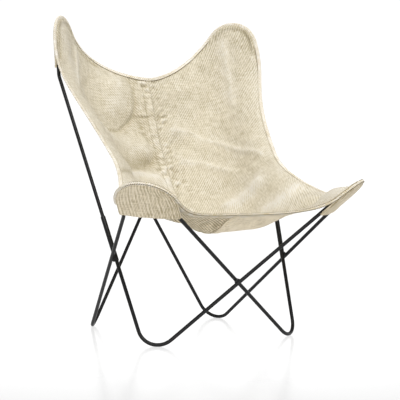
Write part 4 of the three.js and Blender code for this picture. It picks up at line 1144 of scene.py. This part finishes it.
def beside_seam(hand, reach, height):
    """Places beside the seam at a reach from it and a height over the middle of the cloth, below
    it where the height is negative, with the directions along, across and away from the cloth."""
    half = halves[hand]
    from_seam = np.abs(half["base"][len(half["base"]) // 2, :, 0] - CENTRE_X)
    column = np.abs(from_seam - reach).argmin()
    normals = half["normals"][:, column]
    line = half["points"][:, column] + height * normals
    stitch_places = np.arange(SEAM_MARGIN, lengths(line)[-1] - SEAM_MARGIN, STITCH_PITCH)
    places = at_lengths(line, stitch_places)
    ups = unit(at_lengths(line, stitch_places, math.copysign(1, height) * normals))
    runs = unit(np.gradient(places, axis=0))
    return places, runs, np.cross(ups, runs), ups


seam_thread = canvas_material(
    "seam_thread", pale=(0.42, 0.36, 0.23), deep=(0.24, 0.20, 0.12),
    rib=1.6, rib_turn=math.radians(30))
seam_rows = [stitch_row(*beside_seam(LEFT, *place)) for place in SEAM_ROWS]
seam_stitches = new_piece("seam_stitches", *stacked(seam_rows), seam_thread, "hem_canvas")
tape_points, tape_threads = seam_strip()
tape = sheet_piece("seam_tape_strip", tape_points, RIGHT, TAPE_THICK, underside, "hem_canvas",
                   "centre_seam_tape", tape_threads, tape_points[..., 0] * 0)
# The tape takes the right half's painted light of the underside.
up_tape = np.broadcast_to(lengths(tape_points[:, 0])[:, None], tape_points.shape[:2])
carry(tape, "under_shading", UNDER_SHADING[RIGHT] * (1 - smooth(up_tape, *UNDER_SHADING_FADE)))

# All that is sewn together is made now: each half with its hem and stitches, the pockets, whose
# round tops take a fifth off width times length, and the tape. The loop below only picks each half.
for hand in (RIGHT, LEFT):
    half = halves[hand]

# Floor, light and camera. A plain pale studio floor and soft light from large lamps; the camera
# stands at the height of the seat back, a little to the left of the chair's front.
FLOOR_SIZE = 60.0
FLOOR_ROUGHNESS, FLOOR_GLOSS = 0.2, 0.3
FLOOR_GREYS = (0.14, 0.17)
GLOW_REACH, GLOW = (0.5, 1.05), (0.71, 0.54)
LAMPS = (("key_light", 2.7, 38, (-0.08, -0.38, 0.92)), ("fill_light", 0.8, 60, (-0.5, -0.85, 0.1)))
SKY_LEVELS = ((0.16, 1.05), (0.4, 0.3))
CAMERA_PLACE = (-1.5747, -3.0186, 0.4954)
CAMERA_YAW, CAMERA_PITCH = math.radians(-27.744), math.radians(2.083)
LENS, SENSOR = 110.0, 36.0


def floor_material():
    """A floor of dark grey with a faint gloss and a hardly seen unevenness, made white by painted
    light: it glows by itself, most around the chair, falling off with the distance from the origin."""
    material, shader, place = new_material("studio_floor", FLOOR_ROUGHNESS)
    links = material.node_tree.links
    shader.inputs["Specular IOR Level"].default_value = FLOOR_GLOSS
    shader.inputs["Emission Color"].default_value = (1, 1, 1, 1)
    away, = node_chain(material, "VectorMath")
    away.operation = "LENGTH"
    links.new(place, away.inputs[0])
    glow = in_range(material, away.outputs["Value"], *GLOW_REACH, *GLOW)
    links.new(glow, shader.inputs["Emission Strength"])
    stops = [(at, (grey, grey, grey)) for at, grey in enumerate(FLOOR_GREYS)]
    grey = colours(material, noise(material, place, scale=3), *stops)
    links.new(grey, shader.inputs["Base Color"])
    return material


mesh = bpy.data.meshes.new("floor")
edge = FLOOR_SIZE / 2
corners = [(-edge, -edge, 0), (edge, -edge, 0), (edge, edge, 0), (-edge, edge, 0)]
mesh.from_pydata(corners, [], [(0, 1, 2, 3)])
floor = bpy.data.objects.new("floor", mesh)
bpy.context.scene.collection.objects.link(floor)
mesh.materials.append(floor_material())

for name, energy, spread, towards in LAMPS:
    lamp = bpy.data.lights.new(name, "SUN")
    lamp.energy = energy
    lamp.angle = math.radians(spread)
    holder = bpy.data.objects.new(name, lamp)
    holder.rotation_euler = Vector(towards).to_track_quat("Z", "Y").to_euler()
    bpy.context.scene.collection.objects.link(holder)

world = bpy.data.worlds.new("studio")
world.use_nodes = True
sky, links = world.node_tree.nodes, world.node_tree.links
direction, split, ramp = (sky.new("ShaderNode" + kind)
                          for kind in ("TexCoord", "SeparateXYZ", "ValToRGB"))
links.new(direction.outputs["Generated"], split.inputs[0])
links.new(split.outputs["Z"], ramp.inputs["Fac"])
for element, (height, level) in zip(ramp.color_ramp.elements, SKY_LEVELS):
    element.position = height
    element.color = (level, level, level, 1)
links.new(ramp.outputs["Color"], sky["Background"].inputs["Color"])
bpy.context.scene.world = world
bpy.context.scene.view_settings.view_transform = "Standard"

camera_data = bpy.data.cameras.new("camera")
camera_data.lens = LENS
camera_data.sensor_width = SENSOR
camera = bpy.data.objects.new("camera", camera_data)
camera.location = CAMERA_PLACE
camera.rotation_euler = (math.pi / 2 - CAMERA_PITCH, 0, CAMERA_YAW)
bpy.context.scene.collection.objects.link(camera)
bpy.context.scene.camera = camera

bpy.context.view_layer.update()
